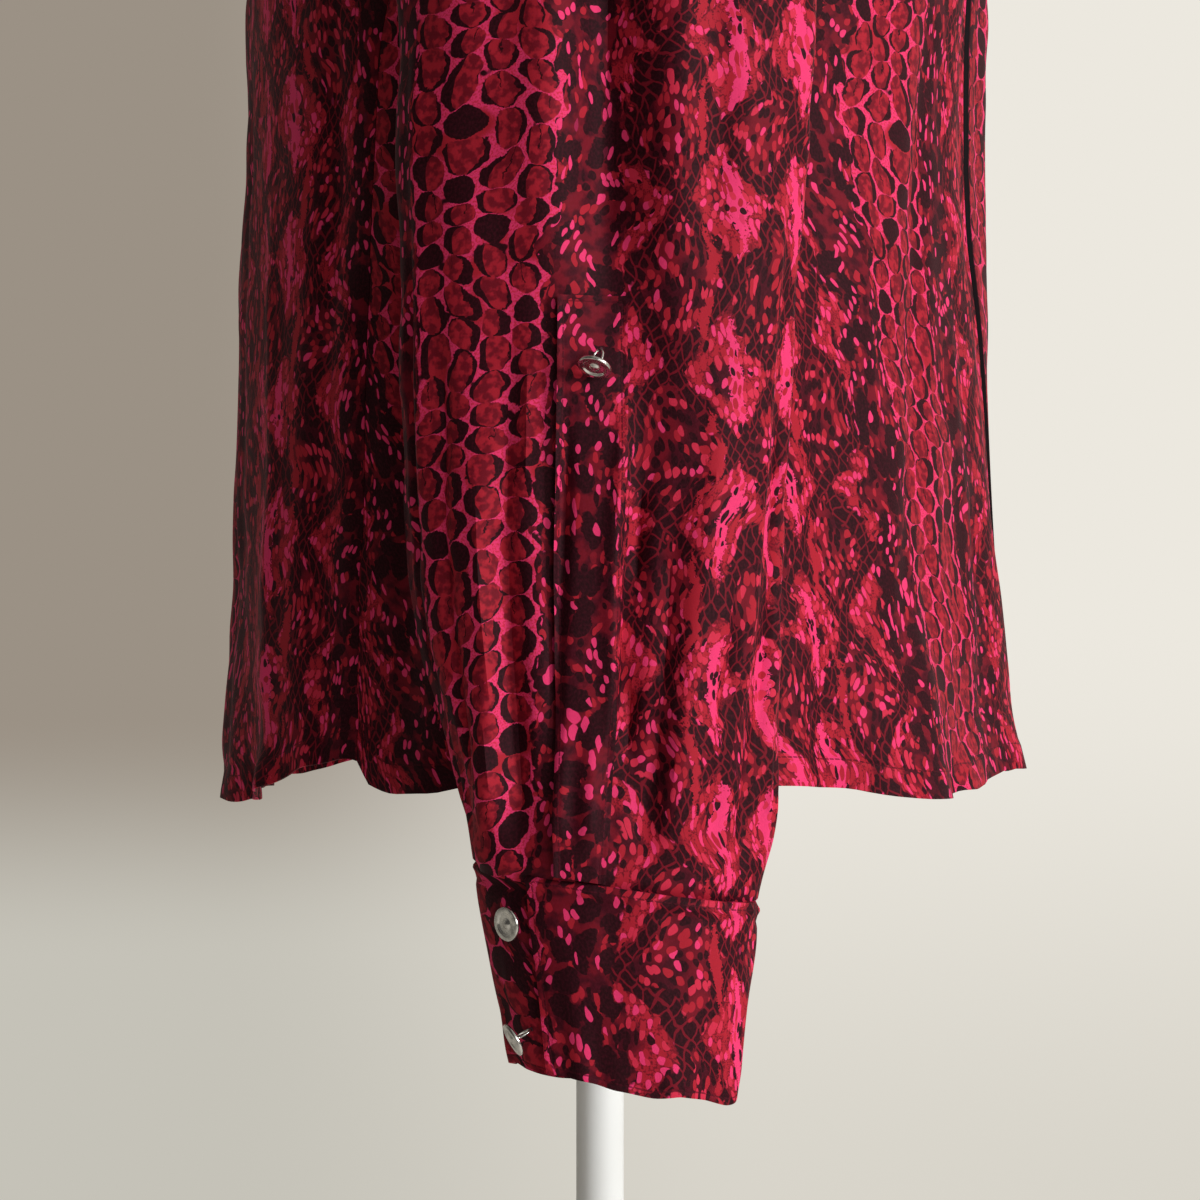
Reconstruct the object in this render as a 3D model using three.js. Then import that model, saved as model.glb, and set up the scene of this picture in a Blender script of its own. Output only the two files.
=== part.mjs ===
// A button-front blouse with long cuffed sleeves, hanging on a limbless dress form.
// Millimetres, +Z up. The front faces -Y and the wearer's right side is -X.
// The origin is on the floor, under the middle of the form's base.
import * as THREE from 'three';
import { mergeGeometries, mergeVertices } from 'three/addons/utils/BufferGeometryUtils.js';

// Driving dimensions of the cloth.
const CLOTH = 1.6;
const FOLDED_CLOTH = 2.2;
const SEAM_GAP = 0.3;
const REST_GAP = 0.9;

// Driving dimensions of the body of the blouse.
const NECK_POINT = { x: 73, z: 1400 };
const SHOULDER_POINT_Z = 1338;
const FRONT_NECK_Z = 1318;
const BACK_NECK_Z = 1385;
const UNDERARM_Z = 1128;
const UNDERARM_ANGLE = 112;
const RIDGE_Y = 5;
const PLACKET_HALF = 15;

// Driving dimensions of the trimmings and the stand.
const BUTTON_RADIUS = 5.7;
const BUTTON_FACE = 2.2;
const GAUNTLET_TOP_Z = 975;
const SLIT_TOP_Z = 955;
const SLIT_GAP = 2;
const POLE_RADIUS = 9.5;
const BASE_RADIUS = 165;
const BASE_THICKNESS = 12;
const FORM_BOTTOM_Z = 834;
const FORM_NECK_Z = 1432;

// Colours of the three kinds of material.
const PRINT = { color: 0x8a1733, roughness: 0.6, metalness: 0 };
const SILVER = { color: 0xc9c9c6, roughness: 0.25, metalness: 1 };
const FORM_CLOTH = { color: 0xd9d4cb, roughness: 0.9, metalness: 0 };
const PAINTED_STEEL = { color: 0xc6c6c4, roughness: 0.4, metalness: 0.1 };

const blouse = new THREE.Group();

const degrees = Math.PI / 180;
const clamp = (value, low, high) => Math.min(high, Math.max(low, value));
const mix = (a, b, share) => a + (b - a) * share;
const smooth = (low, high, value) => {
  const t = clamp((value - low) / (high - low), 0, 1);
  return t * t * (3 - 2 * t);
};

// The value of one column of a table, smooth between its rows, at a height.
function atHeight(rows, column, z) {
  const last = rows.length - 1;
  if (z <= rows[0].z) return rows[0][column];
  if (z >= rows[last].z) return rows[last][column];
  const i = rows.findIndex((row) => row.z > z) - 1;
  const slope = (k) => {
    const low = rows[Math.max(0, k - 1)];
    const high = rows[Math.min(last, k + 1)];
    return (high[column] - low[column]) / (high.z - low.z);
  };
  const span = rows[i + 1].z - rows[i].z;
  const t = (z - rows[i].z) / span;
  const t2 = t * t;
  const t3 = t2 * t;
  return (2 * t3 - 3 * t2 + 1) * rows[i][column] + (t3 - 2 * t2 + t) * span * slope(i)
    + (3 * t2 - 2 * t3) * rows[i + 1][column] + (t3 - t2) * span * slope(i + 1);
}

// Sections of the blouse body: half its width, and its depth to the front and the back.
const BODY = [
  { z: 795, half: 186, front: 160, back: 147 },
  { z: 900, half: 183, front: 149, back: 143.5 },
  { z: 1010, half: 180, front: 145, back: 141 },
  { z: 1128, half: 177, front: 145, back: 139 },
  { z: 1200, half: 176, front: 144, back: 134 },
  { z: 1250, half: 180, front: 126, back: 126 },
  { z: 1290, half: 187, front: 100, back: 112 },
  { z: 1318, half: 190.5, front: 79, back: 99 },
  { z: 1338, half: 192.2, front: 72, back: 89 },
  { z: 1360, half: 149.9, front: 64, back: 77 },
  { z: 1385, half: 101.8, front: 60, back: 61 },
  { z: 1400, half: 73, front: 56, back: 56 },
];

// Vertical folds of the body. The angle runs from the front over the wearer's right side
// to the back, and on to the left. depth is how far the cloth moves out, or in where it is
// negative; the fold starts at the height top and has its whole depth at the height full.
const BODY_FOLDS = [
  { angle: 1, width: 9.5, depth: 9, top: 1260, full: 1130 },
  { angle: 24, width: 9, depth: -4, top: 1150, full: 800 },
  { angle: 39, width: 9, depth: 4, top: 1060, full: 800 },
  { angle: 53, width: 8, depth: -6, top: 1130, full: 800 },
  { angle: 68, width: 8, depth: 2, top: 960, full: 800 },
  { angle: 120, width: 9, depth: -7, top: 1180, full: 800 },
  { angle: 138, width: 10, depth: 3, top: 1010, full: 800 },
  { angle: 154, width: 10, depth: -6, top: 1130, full: 800 },
  { angle: 171, width: 9, depth: 3, top: 1050, full: 800 },
  { angle: 188, width: 10, depth: -6, top: 1090, full: 800 },
  { angle: 206, width: 10, depth: 4, top: 1020, full: 800 },
  { angle: 226, width: 12, depth: -6, top: 1140, full: 800 },
  { angle: 244, width: 9, depth: -4, top: 1100, full: 800 },
  { angle: 297, width: 10, depth: -5, top: 1110, full: 800 },
  { angle: 317, width: 10, depth: 4, top: 1020, full: 800 },
  { angle: 338, width: 9, depth: -5, top: 1090, full: 800 },
];

// Height of the hem: low at the back, notched at the side seams, a little up at the front.
const HEM = [
  { z: 0, level: 811 },
  { z: 9, level: 809 },
  { z: 22, level: 805.5 },
  { z: 36, level: 805.5 },
  { z: 56, level: 812 },
  { z: 90, level: 812 },
  { z: 117, level: 813 },
  { z: 123, level: 820.5 },
  { z: 130, level: 817 },
  { z: 141, level: 807.5 },
  { z: 154, level: 801.5 },
  { z: 180, level: 799.5 },
];

function foldAt(angle, z) {
  let move = 0;
  for (const fold of BODY_FOLDS) {
    const away = Math.abs(((angle - fold.angle + 540) % 360) - 180) / fold.width;
    const grown = Math.pow(clamp((fold.top - z) / (fold.top - fold.full), 0, 1), 1.3);
    move += fold.depth * grown * Math.exp(-away * away);
  }
  return move;
}

// The front opening swings to the wearer's right below the bust, and the side seams run
// a little to the back: both as an angle over the height.
const SEAM_LINES = [
  { z: 800, opening: 3, side: 124 },
  { z: 869, opening: 5, side: 123.3 },
  { z: 893, opening: 6.5, side: 123 },
  { z: 936, opening: 8.5, side: 122.5 },
  { z: 983, opening: 12, side: 121.8 },
  { z: 1022, opening: 16, side: 121 },
  { z: 1085, opening: 17, side: 118.5 },
  { z: UNDERARM_Z, opening: 15, side: UNDERARM_ANGLE },
  { z: 1200, opening: 9, side: UNDERARM_ANGLE },
  { z: 1250, opening: 4, side: UNDERARM_ANGLE },
  { z: 1290, opening: 1, side: UNDERARM_ANGLE },
  { z: 1318, opening: 0, side: UNDERARM_ANGLE },
];
function swungAngle(angle, z) {
  const side = atHeight(SEAM_LINES, 'side', z);
  const signed = angle > 180 ? angle - 360 : angle;
  const share = clamp(1 - Math.abs(signed) / side, 0, 1);
  return angle + atHeight(SEAM_LINES, 'opening', z) * share;
}

// A point of a horizontal section. angle is 0 at the centre front and 90 on the right.
function sectionPoint(rows, angle, z) {
  const s = Math.sin(angle * degrees);
  const c = Math.cos(angle * degrees);
  const depth = c > 0 ? atHeight(rows, 'front', z) : atHeight(rows, 'back', z);
  const reach = c > 0 ? depth + RIDGE_Y : depth - RIDGE_Y;
  const x = -atHeight(rows, 'half', z) * s;
  const y = RIDGE_Y - reach * c;
  return new THREE.Vector3(x, y, z);
}

// The blouse's outer surface with its folds, moved out by a further distance.
function bodyPoint(place, z, out = 0) {
  const step = 0.4;
  const angle = swungAngle(place, z);
  const point = sectionPoint(BODY, angle, z);
  const along = sectionPoint(BODY, angle + step, z).sub(sectionPoint(BODY, angle - step, z));
  const up = sectionPoint(BODY, angle, z + step).sub(sectionPoint(BODY, angle, z - step));
  const normal = new THREE.Vector3().crossVectors(up, along).normalize();
  return point.addScaledVector(normal, out + foldAt(angle, z));
}

// A closed wall from a grid of outer points. grid[row][column] are points, and thick
// gives the wall's thickness; the inner points lie inward along the grid's own normals.
function gridNormals(grid, closed) {
  const rows = grid.length;
  const columns = grid[0].length;
  return grid.map((line, r) => line.map((point, c) => {
    const left = closed ? grid[r][(c - 1 + columns) % columns] : grid[r][Math.max(0, c - 1)];
    const right = closed ? grid[r][(c + 1) % columns] : grid[r][Math.min(columns - 1, c + 1)];
    const below = grid[Math.max(0, r - 1)][c];
    const above = grid[Math.min(rows - 1, r + 1)][c];
    const across = right.clone().sub(left);
    const up = above.clone().sub(below);
    return new THREE.Vector3().crossVectors(up, across).normalize();
  }));
}

function offsetGrid(grid, normals, distance) {
  return grid.map((line, r) => line.map((point, c) => (
    point.clone().addScaledVector(normals[r][c], distance)
  )));
}

// A solid between an outer and an inner grid of the same size, with rims all round.
// Where two walls grow together, firstRim and lastRim name the rows whose rims stay.
const always = () => true;
function wallFromGrids(outer, inner, firstRim = always, lastRim = always) {
  const rows = outer.length;
  const columns = outer[0].length;
  const places = [];
  for (const layer of [outer, inner]) {
    for (const line of layer) {
      for (const point of line) places.push(point.x, point.y, point.z);
    }
  }
  const faces = [];
  const at = (layer, r, c) => layer * rows * columns + r * columns + c;
  const quad = (a, b, c, d) => faces.push(a, b, c, a, c, d);
  for (let r = 0; r < rows - 1; r += 1) {
    for (let c = 0; c < columns - 1; c += 1) {
      quad(at(0, r, c), at(0, r + 1, c), at(0, r + 1, c + 1), at(0, r, c + 1));
      quad(at(1, r, c), at(1, r, c + 1), at(1, r + 1, c + 1), at(1, r + 1, c));
    }
  }
  for (let r = 0; r < rows - 1; r += 1) {
    const end = columns - 1;
    if (firstRim(r)) quad(at(0, r, 0), at(1, r, 0), at(1, r + 1, 0), at(0, r + 1, 0));
    if (lastRim(r)) quad(at(0, r, end), at(0, r + 1, end), at(1, r + 1, end), at(1, r, end));
  }
  for (let c = 0; c < columns - 1; c += 1) {
    quad(at(0, 0, c), at(0, 0, c + 1), at(1, 0, c + 1), at(1, 0, c));
    const top = rows - 1;
    quad(at(0, top, c), at(1, top, c), at(1, top, c + 1), at(0, top, c + 1));
  }
  const geometry = new THREE.BufferGeometry();
  geometry.setAttribute('position', new THREE.Float32BufferAttribute(places, 3));
  geometry.setIndex(faces);
  return geometry;
}

// Points are merged where a wall's two ends meet, and faces that lost a side are dropped.
function mergedSolid(geometry) {
  const merged = mergeVertices(geometry, 1e-3);
  const index = merged.getIndex();
  const kept = [];
  for (let i = 0; i < index.count; i += 3) {
    const [a, b, c] = [index.getX(i), index.getX(i + 1), index.getX(i + 2)];
    if (a !== b && b !== c && a !== c) kept.push(a, b, c);
  }
  merged.setIndex(kept);
  return merged;
}

function mirrored(geometry) {
  const copy = geometry.clone();
  copy.scale(-1, 1, 1);
  const index = copy.getIndex();
  for (let i = 0; i < index.count; i += 3) {
    const b = index.getX(i + 1);
    index.setX(i + 1, index.getX(i + 2));
    index.setX(i + 2, b);
  }
  return copy;
}

function addMesh(name, geometry, look) {
  geometry.computeVertexNormals();
  const mesh = new THREE.Mesh(geometry, new THREE.MeshStandardMaterial(look));
  mesh.name = name;
  blouse.add(mesh);
  return mesh;
}

// The armhole of the front and the back, from the underarm up to the shoulder point:
// z is the share of the panel's rows above the underarm, level the height on the body.
const FRONT_ARMHOLE = [
  { z: 0, angle: UNDERARM_ANGLE, level: UNDERARM_Z },
  { z: 0.12, angle: 100, level: 1131 },
  { z: 0.3, angle: 79, level: 1160 },
  { z: 0.52, angle: 67, level: 1216 },
  { z: 0.74, angle: 64.5, level: 1276 },
  { z: 0.9, angle: 68, level: 1316 },
  { z: 1, angle: 90, level: SHOULDER_POINT_Z },
];
const BACK_ARMHOLE = [
  { z: 0, angle: UNDERARM_ANGLE, level: UNDERARM_Z },
  { z: 0.12, angle: 117, level: 1133 },
  { z: 0.3, angle: 119, level: 1162 },
  { z: 0.52, angle: 120, level: 1218 },
  { z: 0.74, angle: 119, level: 1278 },
  { z: 0.9, angle: 113, level: 1317 },
  { z: 1, angle: 90, level: SHOULDER_POINT_Z },
];

// The front edge and neckline, and the back neckline, over the same shares:
// x is the distance from the centre line.
const FRONT_NECK_SHARE = 0.72;
const BACK_NECK_SHARE = 0.8;
const FRONT_NECKLINE = [
  { z: 0, x: 0, level: UNDERARM_Z },
  { z: 0.3, x: 0, level: 1190 },
  { z: 0.52, x: 0, level: 1250 },
  { z: FRONT_NECK_SHARE, x: 15, level: FRONT_NECK_Z },
  { z: 0.8, x: 38, level: 1327 },
  { z: 0.88, x: 57, level: 1345 },
  { z: 0.94, x: 68, level: 1369 },
  { z: 1, x: NECK_POINT.x, level: NECK_POINT.z },
];
const BACK_NECKLINE = [
  { z: 0, x: 0, level: UNDERARM_Z },
  { z: 0.3, x: 0, level: 1200 },
  { z: 0.6, x: 0, level: 1310 },
  { z: BACK_NECK_SHARE, x: 0, level: BACK_NECK_Z },
  { z: 0.87, x: 29, level: 1385.6 },
  { z: 0.93, x: 52, level: 1389 },
  { z: 1, x: NECK_POINT.x, level: NECK_POINT.z },
];

const HEM_ROWS = [0, 0.035, 0.12, 0.25, 0.4, 0.56, 0.72, 0.87];
const UPPER_ROWS = [
  0, 0.09, 0.19, 0.3, 0.42, 0.54, 0.64, FRONT_NECK_SHARE,
  BACK_NECK_SHARE, 0.87, 0.92, 0.957, 0.982, 0.996, 1,
];

function hemLevel(angle) {
  const folded = angle > 180 ? 360 - angle : angle;
  return atHeight(HEM, 'level', folded);
}

// The angle at which the body's section stands a given distance from the centre line.
function angleAtX(x, z) {
  const half = atHeight(BODY, 'half', z);
  return Math.asin(clamp(x / half, 0, 1)) / degrees;
}

// The neckline's angle and height at a share of the rows above the underarm.
function neckAt(neckline, share, least, isBack) {
  const z = atHeight(neckline, 'level', share);
  const x = Math.max(atHeight(neckline, 'x', share), least);
  const angle = share >= 1 ? 90 : angleAtX(x, z);
  return { angle: isBack ? 180 - angle : angle, z };
}

// One panel of the body on the wearer's right: rows of [angle, height] pairs.
function panelRows(neckline, armhole, columns, least, isBack) {
  const centre = (z) => (isBack ? 180 : angleAtX(least, z));
  const rows = [];
  for (const share of HEM_ROWS) {
    const row = [];
    for (let c = 0; c <= columns; c += 1) {
      const t = c / columns;
      const guess = mix(centre(900), atHeight(SEAM_LINES, 'side', 900), t);
      const z = mix(hemLevel(guess), UNDERARM_Z, share);
      row.push([mix(centre(z), atHeight(SEAM_LINES, 'side', z), t), z]);
    }
    rows.push(row);
  }
  for (const share of UPPER_ROWS) {
    const neck = neckAt(neckline, share, least, isBack);
    const arm = { angle: atHeight(armhole, 'angle', share), z: atHeight(armhole, 'level', share) };
    const row = [];
    for (let c = 0; c <= columns; c += 1) {
      const t = c / columns;
      row.push([mix(neck.angle, arm.angle, t), mix(neck.z, arm.z, t)]);
    }
    rows.push(row);
  }
  return rows;
}

const FRONT_COLUMNS = 14;
const BACK_COLUMNS = 13;
const frontRows = panelRows(FRONT_NECKLINE, FRONT_ARMHOLE, FRONT_COLUMNS, PLACKET_HALF + SEAM_GAP, false);
const backRows = panelRows(BACK_NECKLINE, BACK_ARMHOLE, BACK_COLUMNS, 0, true);

// The left front lies a little lower where it joins its band, under the placket.
const PLACKET_RAISE = 1;
const BAND_DEPTH = FOLDED_CLOTH - PLACKET_RAISE + SEAM_GAP;
function panelGrid(rows, side, isBack, out) {
  return rows.map((row) => row.map(([angle, z]) => {
    const x = Math.abs(sectionPoint(BODY, angle, z).x);
    const dips = side === 'left' && !isBack;
    const dip = dips ? -BAND_DEPTH * (1 - smooth(16, 48, x)) : 0;
    return bodyPoint(side === 'left' ? 360 - angle : angle, z, dip + out);
  }));
}

// Moves a row or a column of points back from its seam by half the gap.
function trimColumn(grid, column, neighbour) {
  for (const line of grid) {
    const inward = line[neighbour].clone().sub(line[column]).normalize();
    line[column].addScaledVector(inward, SEAM_GAP / 2);
  }
}
function trimTop(grid) {
  const top = grid.length - 1;
  for (let c = 0; c < grid[0].length; c += 1) {
    const inward = grid[top - 1][c].clone().sub(grid[top][c]).normalize();
    grid[top][c].addScaledVector(inward, SEAM_GAP / 2);
  }
}

function makeFront(side, out) {
  const grid = panelGrid(frontRows, side, false, out);
  trimColumn(grid, FRONT_COLUMNS, FRONT_COLUMNS - 1);
  trimTop(grid);
  if (side === 'left') grid.forEach((line) => line.reverse());
  return grid;
}

function makeBackHalf(side, out) {
  const grid = panelGrid(backRows, side, true, out);
  trimColumn(grid, BACK_COLUMNS, BACK_COLUMNS - 1);
  trimTop(grid);
  if (side === 'right') grid.forEach((line) => line.reverse());
  return grid;
}
const rightFront = makeFront('right', 0);
const rightBack = makeBackHalf('right', 0);

function wall(grid, thickness, closed = false) {
  const normals = gridNormals(grid, closed);
  return mergedSolid(wallFromGrids(grid, offsetGrid(grid, normals, -thickness)));
}

const between = (outer, inner) => mergedSolid(wallFromGrids(outer, inner));

// The back's two halves are one piece up to the neckline, which parts them.
const backNeckRow = HEM_ROWS.length + UPPER_ROWS.indexOf(BACK_NECK_SHARE);
const aboveNeck = (r) => r >= backNeckRow;
addMesh('back', mergedSolid(mergeGeometries([
  wallFromGrids(rightBack, makeBackHalf('right', -CLOTH), always, aboveNeck),
  wallFromGrids(makeBackHalf('left', 0), makeBackHalf('left', -CLOTH), aboveNeck, always),
])), PRINT);
addMesh('right_front', between(rightFront, makeFront('right', -CLOTH)), PRINT);
addMesh('left_front', between(makeFront('left', 0), makeFront('left', -CLOTH)), PRINT);

// The two bands of the front opening run from the hem to the neckline, one over the other.
const BAND_COLUMNS = 3;
function bandGrid(raise) {
  return frontRows.filter((row) => row[0][1] <= FRONT_NECK_Z + 0.01).map((row) => {
    const z = row[0][1];
    const line = [];
    for (let c = 0; c <= BAND_COLUMNS; c += 1) {
      const x = mix(PLACKET_HALF, -PLACKET_HALF, c / BAND_COLUMNS);
      line.push(bodyPoint(-Math.sign(x) * angleAtX(Math.abs(x), z), z, raise));
    }
    return line;
  });
}
for (const [name, raise] of [['front_placket', PLACKET_RAISE], ['button_band', -BAND_DEPTH]]) {
  addMesh(name, between(bandGrid(raise), bandGrid(raise - FOLDED_CLOTH)), PRINT);
}

// The sleeve: rings from the armhole to the cuff. Each row gives the ring's highest or
// outermost point, its lowest or inner point, and half its width from front to back.
const SLEEVE = [
  { outX: 211, outY: 3, outZ: 1326, inX: 174, inY: 46, inZ: 1131.5, wide: 69 },
  { outX: 227, outY: 0, outZ: 1300, inX: 179, inY: 39, inZ: 1132, wide: 70 },
  { outX: 237.5, outY: -4, outZ: 1258, inX: 182.5, inY: 27, inZ: 1128, wide: 70 },
  { outX: 243, outY: -7, outZ: 1200, inX: 184.3, inY: 14, inZ: 1117, wide: 70 },
  { outX: 245, outY: -9, outZ: 1136, inX: 183.8, inY: 0, inZ: 1099, wide: 70 },
  { outX: 245, outY: -10, outZ: 1075, inX: 183, inY: -11.6, inZ: 1070, wide: 69.5 },
  { outX: 245.5, outY: -9.5, outZ: 1009, inX: 184.5, inY: -10, inZ: 1009, wide: 67.8 },
  { outX: 246, outY: -8.8, outZ: GAUNTLET_TOP_Z, inX: 185.5, inY: -8.5, inZ: GAUNTLET_TOP_Z, wide: 66.3 },
  { outX: 247, outY: -8.6, outZ: SLIT_TOP_Z, inX: 186, inY: -8, inZ: SLIT_TOP_Z, wide: 65.3 },
  { outX: 248, outY: -8, outZ: 925, inX: 187.5, inY: -8.6, inZ: 925, wide: 64 },
  { outX: 249, outY: -7, outZ: 895, inX: 189.5, inY: -10.5, inZ: 895, wide: 62 },
  { outX: 251, outY: -6.5, outZ: 865, inX: 192.5, inY: -14, inZ: 865, wide: 58.8 },
  { outX: 252.5, outY: -6, outZ: 838, inX: 195, inY: -19, inZ: 838, wide: 54.5 },
  { outX: 253.5, outY: -5.2, outZ: 812, inX: 197, inY: -25, inZ: 812, wide: 50.3 },
  { outX: 254, outY: -4.5, outZ: 786, inX: 198, inY: -26, inZ: 786, wide: 45.3 },
];
const SLEEVE_COLUMNS = 24;
const SLIT_TURN = 10;

// Folds of the sleeve: turn is the place round the ring, 0 at the outside, 90 at the front.
const SLEEVE_FOLDS = [
  { turn: 16, width: 9, depth: -4, top: 1260, low: 800 },
  { turn: 44, width: 14, depth: 3, top: 1180, low: 780 },
  { turn: 72, width: 12, depth: -4, top: 1120, low: 780 },
  { turn: 120, width: 16, depth: -4, top: 1080, low: 780 },
  { turn: 205, width: 16, depth: -3, top: 1040, low: 780 },
  { turn: 245, width: 13, depth: -4, top: 1090, low: 780 },
  { turn: 318, width: 14, depth: 3, top: 1150, low: 780 },
  { turn: 336, width: 9, depth: -6, top: 905, low: 780 },
];

function turnOf(column) {
  if (column === 0) return 0;
  if (column === SLEEVE_COLUMNS) return 360;
  const half = SLEEVE_COLUMNS / 2;
  const step = (180 - SLIT_TURN) / (half - 1);
  return column <= half ? SLIT_TURN + (column - 1) * step : 360 - turnOf(SLEEVE_COLUMNS - column);
}

function sleeveFoldAt(turn, z) {
  let move = 0;
  for (const fold of SLEEVE_FOLDS) {
    const away = Math.abs(((turn - fold.turn + 540) % 360) - 180) / fold.width;
    const grown = Math.pow(clamp((fold.top - z) / (fold.top - fold.low), 0, 1), 0.8);
    const gathered = 1 - 0.75 * smooth(815, 788, z);
    move += fold.depth * grown * gathered * Math.exp(-away * away);
  }
  return move;
}

// The cuff and the sleeve's end are lower at the front than at the back.
const CUFF_TILT = 0.15;
function sleeveRing(row) {
  const outer = new THREE.Vector3(-row.outX, row.outY, row.outZ);
  const inner = new THREE.Vector3(-row.inX, row.inY, row.inZ);
  const centre = outer.clone().add(inner).multiplyScalar(0.5);
  const deep = outer.clone().sub(inner).multiplyScalar(0.5);
  const tilt = CUFF_TILT * smooth(900, 790, row.outZ);
  const ring = [];
  for (let c = 0; c <= SLEEVE_COLUMNS; c += 1) {
    const turn = turnOf(c) * degrees;
    const fold = sleeveFoldAt(turnOf(c), row.outZ);
    const flat = new THREE.Vector3(0, -Math.sin(turn) * row.wide, 0).addScaledVector(deep, Math.cos(turn));
    const outward = new THREE.Vector3(
      deep.x * Math.cos(turn) / deep.length() * row.wide,
      -Math.sin(turn) * deep.length(),
      deep.z * Math.cos(turn) / deep.length() * row.wide,
    ).normalize();
    const point = centre.clone().add(flat).addScaledVector(outward, fold);
    point.z += tilt * (point.y - centre.y);
    ring.push(point);
  }
  return ring;
}

// The first ring follows the armhole, a seam's gap away from the front and the back.
const UNDERARM_ROW = HEM_ROWS.length;
function armholeRing() {
  const frontNormals = gridNormals(rightFront, false);
  const backNormals = gridNormals(rightBack, false);
  const loop = [];
  const top = rightFront.length - 1;
  for (let r = top; r >= UNDERARM_ROW; r -= 1) {
    loop.push({ point: rightFront[r][FRONT_COLUMNS], normal: frontNormals[r][FRONT_COLUMNS] });
  }
  for (let r = UNDERARM_ROW; r <= top; r += 1) {
    loop.push({ point: rightBack[r][0], normal: backNormals[r][0] });
  }
  const centre = new THREE.Vector3();
  for (const { point } of loop) centre.addScaledVector(point, 1 / loop.length);
  return loop.map(({ point, normal }) => {
    const away = centre.clone().sub(point);
    away.addScaledVector(normal, -away.dot(normal)).normalize();
    return point.clone().addScaledVector(away, SEAM_GAP * 2);
  });
}

function sleeveGrid() {
  const loop = armholeRing();
  const half = loop.length / 2;
  const first = [];
  for (let c = 0; c <= SLEEVE_COLUMNS; c += 1) {
    const share = c / SLEEVE_COLUMNS * 2;
    if (share === 0 || share === 2) first.push(loop[0].clone().lerp(loop[loop.length - 1], 0.5));
    else if (share < 1) first.push(alongLoop(loop, share * (half - 1)));
    else if (share === 1) first.push(loop[half - 1].clone().lerp(loop[half], 0.5));
    else first.push(alongLoop(loop, half + (share - 1) * (half - 1)));
  }
  return [first, ...SLEEVE.map(sleeveRing)];
}

function alongLoop(loop, place) {
  const low = Math.min(Math.floor(place), loop.length - 2);
  return loop[low].clone().lerp(loop[low + 1], place - low);
}

const sleeve = sleeveGrid();
const slitRow = 1 + SLEEVE.findIndex((row) => row.outZ === SLIT_TOP_Z);
const gauntletRow = 1 + SLEEVE.findIndex((row) => row.outZ === GAUNTLET_TOP_Z);

function closedNormals(grid) {
  const open = grid.map((line) => line.slice(0, -1));
  return gridNormals(open, true).map((line) => [...line, line[0]]);
}
const sleeveNormals = closedNormals(sleeve);

// The slit's two edges stand apart below its top.
function splitSlit(grid) {
  return grid.map((line, r) => {
    if (r <= slitRow) return line;
    const copy = line.map((point) => point.clone());
    copy[0].y -= SLIT_GAP / 2;
    copy[SLEEVE_COLUMNS].y += SLIT_GAP / 2;
    return copy;
  });
}

const sleeveOuter = splitSlit(sleeve);
const sleeveInner = splitSlit(offsetGrid(sleeve, sleeveNormals, -CLOTH));
const belowSlit = (r) => r >= slitRow;
const sleeveSolid = mergedSolid(wallFromGrids(sleeveOuter, sleeveInner, belowSlit, belowSlit));
addMesh('right_sleeve', sleeveSolid, PRINT);
addMesh('left_sleeve', mirrored(sleeveSolid), PRINT);

// The gauntlet lies on the sleeve over the slit, one column to each side of it.
function gauntletGrid() {
  const grid = [];
  for (let r = gauntletRow; r < sleeve.length; r += 1) {
    const raise = SEAM_GAP + 0.1 + CLOTH;
    const line = [SLEEVE_COLUMNS - 1, 0, 1].map((c) => (
      sleeve[r][c].clone().addScaledVector(sleeveNormals[r][c], raise)
    ));
    grid.push(line);
  }
  return grid;
}
const gauntlet = gauntletGrid();
const gauntletSolid = wall(gauntlet, CLOTH);
addMesh('right_gauntlet', gauntletSolid, PRINT);
addMesh('left_gauntlet', mirrored(gauntletSolid), PRINT);

// The cuff: a strip wrapped round the wrist whose far end slides under its near end.
const CUFF_ROWS = [
  { level: 785.4, midX: 226, midY: -15.2, wide: 45.5, deep: 28.4 },
  { level: 779, midX: 226, midY: -15, wide: 46, deep: 28.8 },
  { level: 752, midX: 226.5, midY: -16, wide: 42.5, deep: 28 },
  { level: 721, midX: 227, midY: -17, wide: 38, deep: 27.5 },
];
const CUFF_COLUMNS = 28;
const CUFF_START = -37;
const CUFF_END = 345;
const UNDERLAP_DEPTH = FOLDED_CLOTH + SEAM_GAP + 0.3;
function cuffPoint(row, turn) {
  const inward = UNDERLAP_DEPTH * smooth(262, 312, turn);
  const angle = turn * degrees;
  const y = row.midY - Math.sin(angle) * (row.wide - inward);
  const x = -row.midX - Math.cos(angle) * (row.deep - inward);
  return new THREE.Vector3(x, y, row.level + CUFF_TILT * (y - row.midY));
}
const cuff = CUFF_ROWS.map((row) => {
  const line = [];
  for (let c = 0; c <= CUFF_COLUMNS; c += 1) {
    line.push(cuffPoint(row, mix(CUFF_START, CUFF_END, c / CUFF_COLUMNS)));
  }
  return line;
});
const cuffSolid = wall(cuff, FOLDED_CLOTH);
addMesh('right_cuff', cuffSolid, PRINT);
addMesh('left_cuff', mirrored(cuffSolid), PRINT);

// A metal button: a stem that stands on the cloth and a disc with a low crown.
function buttonGeometry(stem) {
  const profile = [
    [0, 0], [1.7, 0], [1.7, stem], [BUTTON_RADIUS, stem + 0.3],
    [BUTTON_RADIUS, stem + BUTTON_FACE - 0.4], [0, stem + BUTTON_FACE],
  ].map(([x, y]) => new THREE.Vector2(x, y));
  const lathe = new THREE.LatheGeometry(profile, 12);
  lathe.deleteAttribute('normal');
  lathe.deleteAttribute('uv');
  return mergedSolid(lathe);
}

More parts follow.
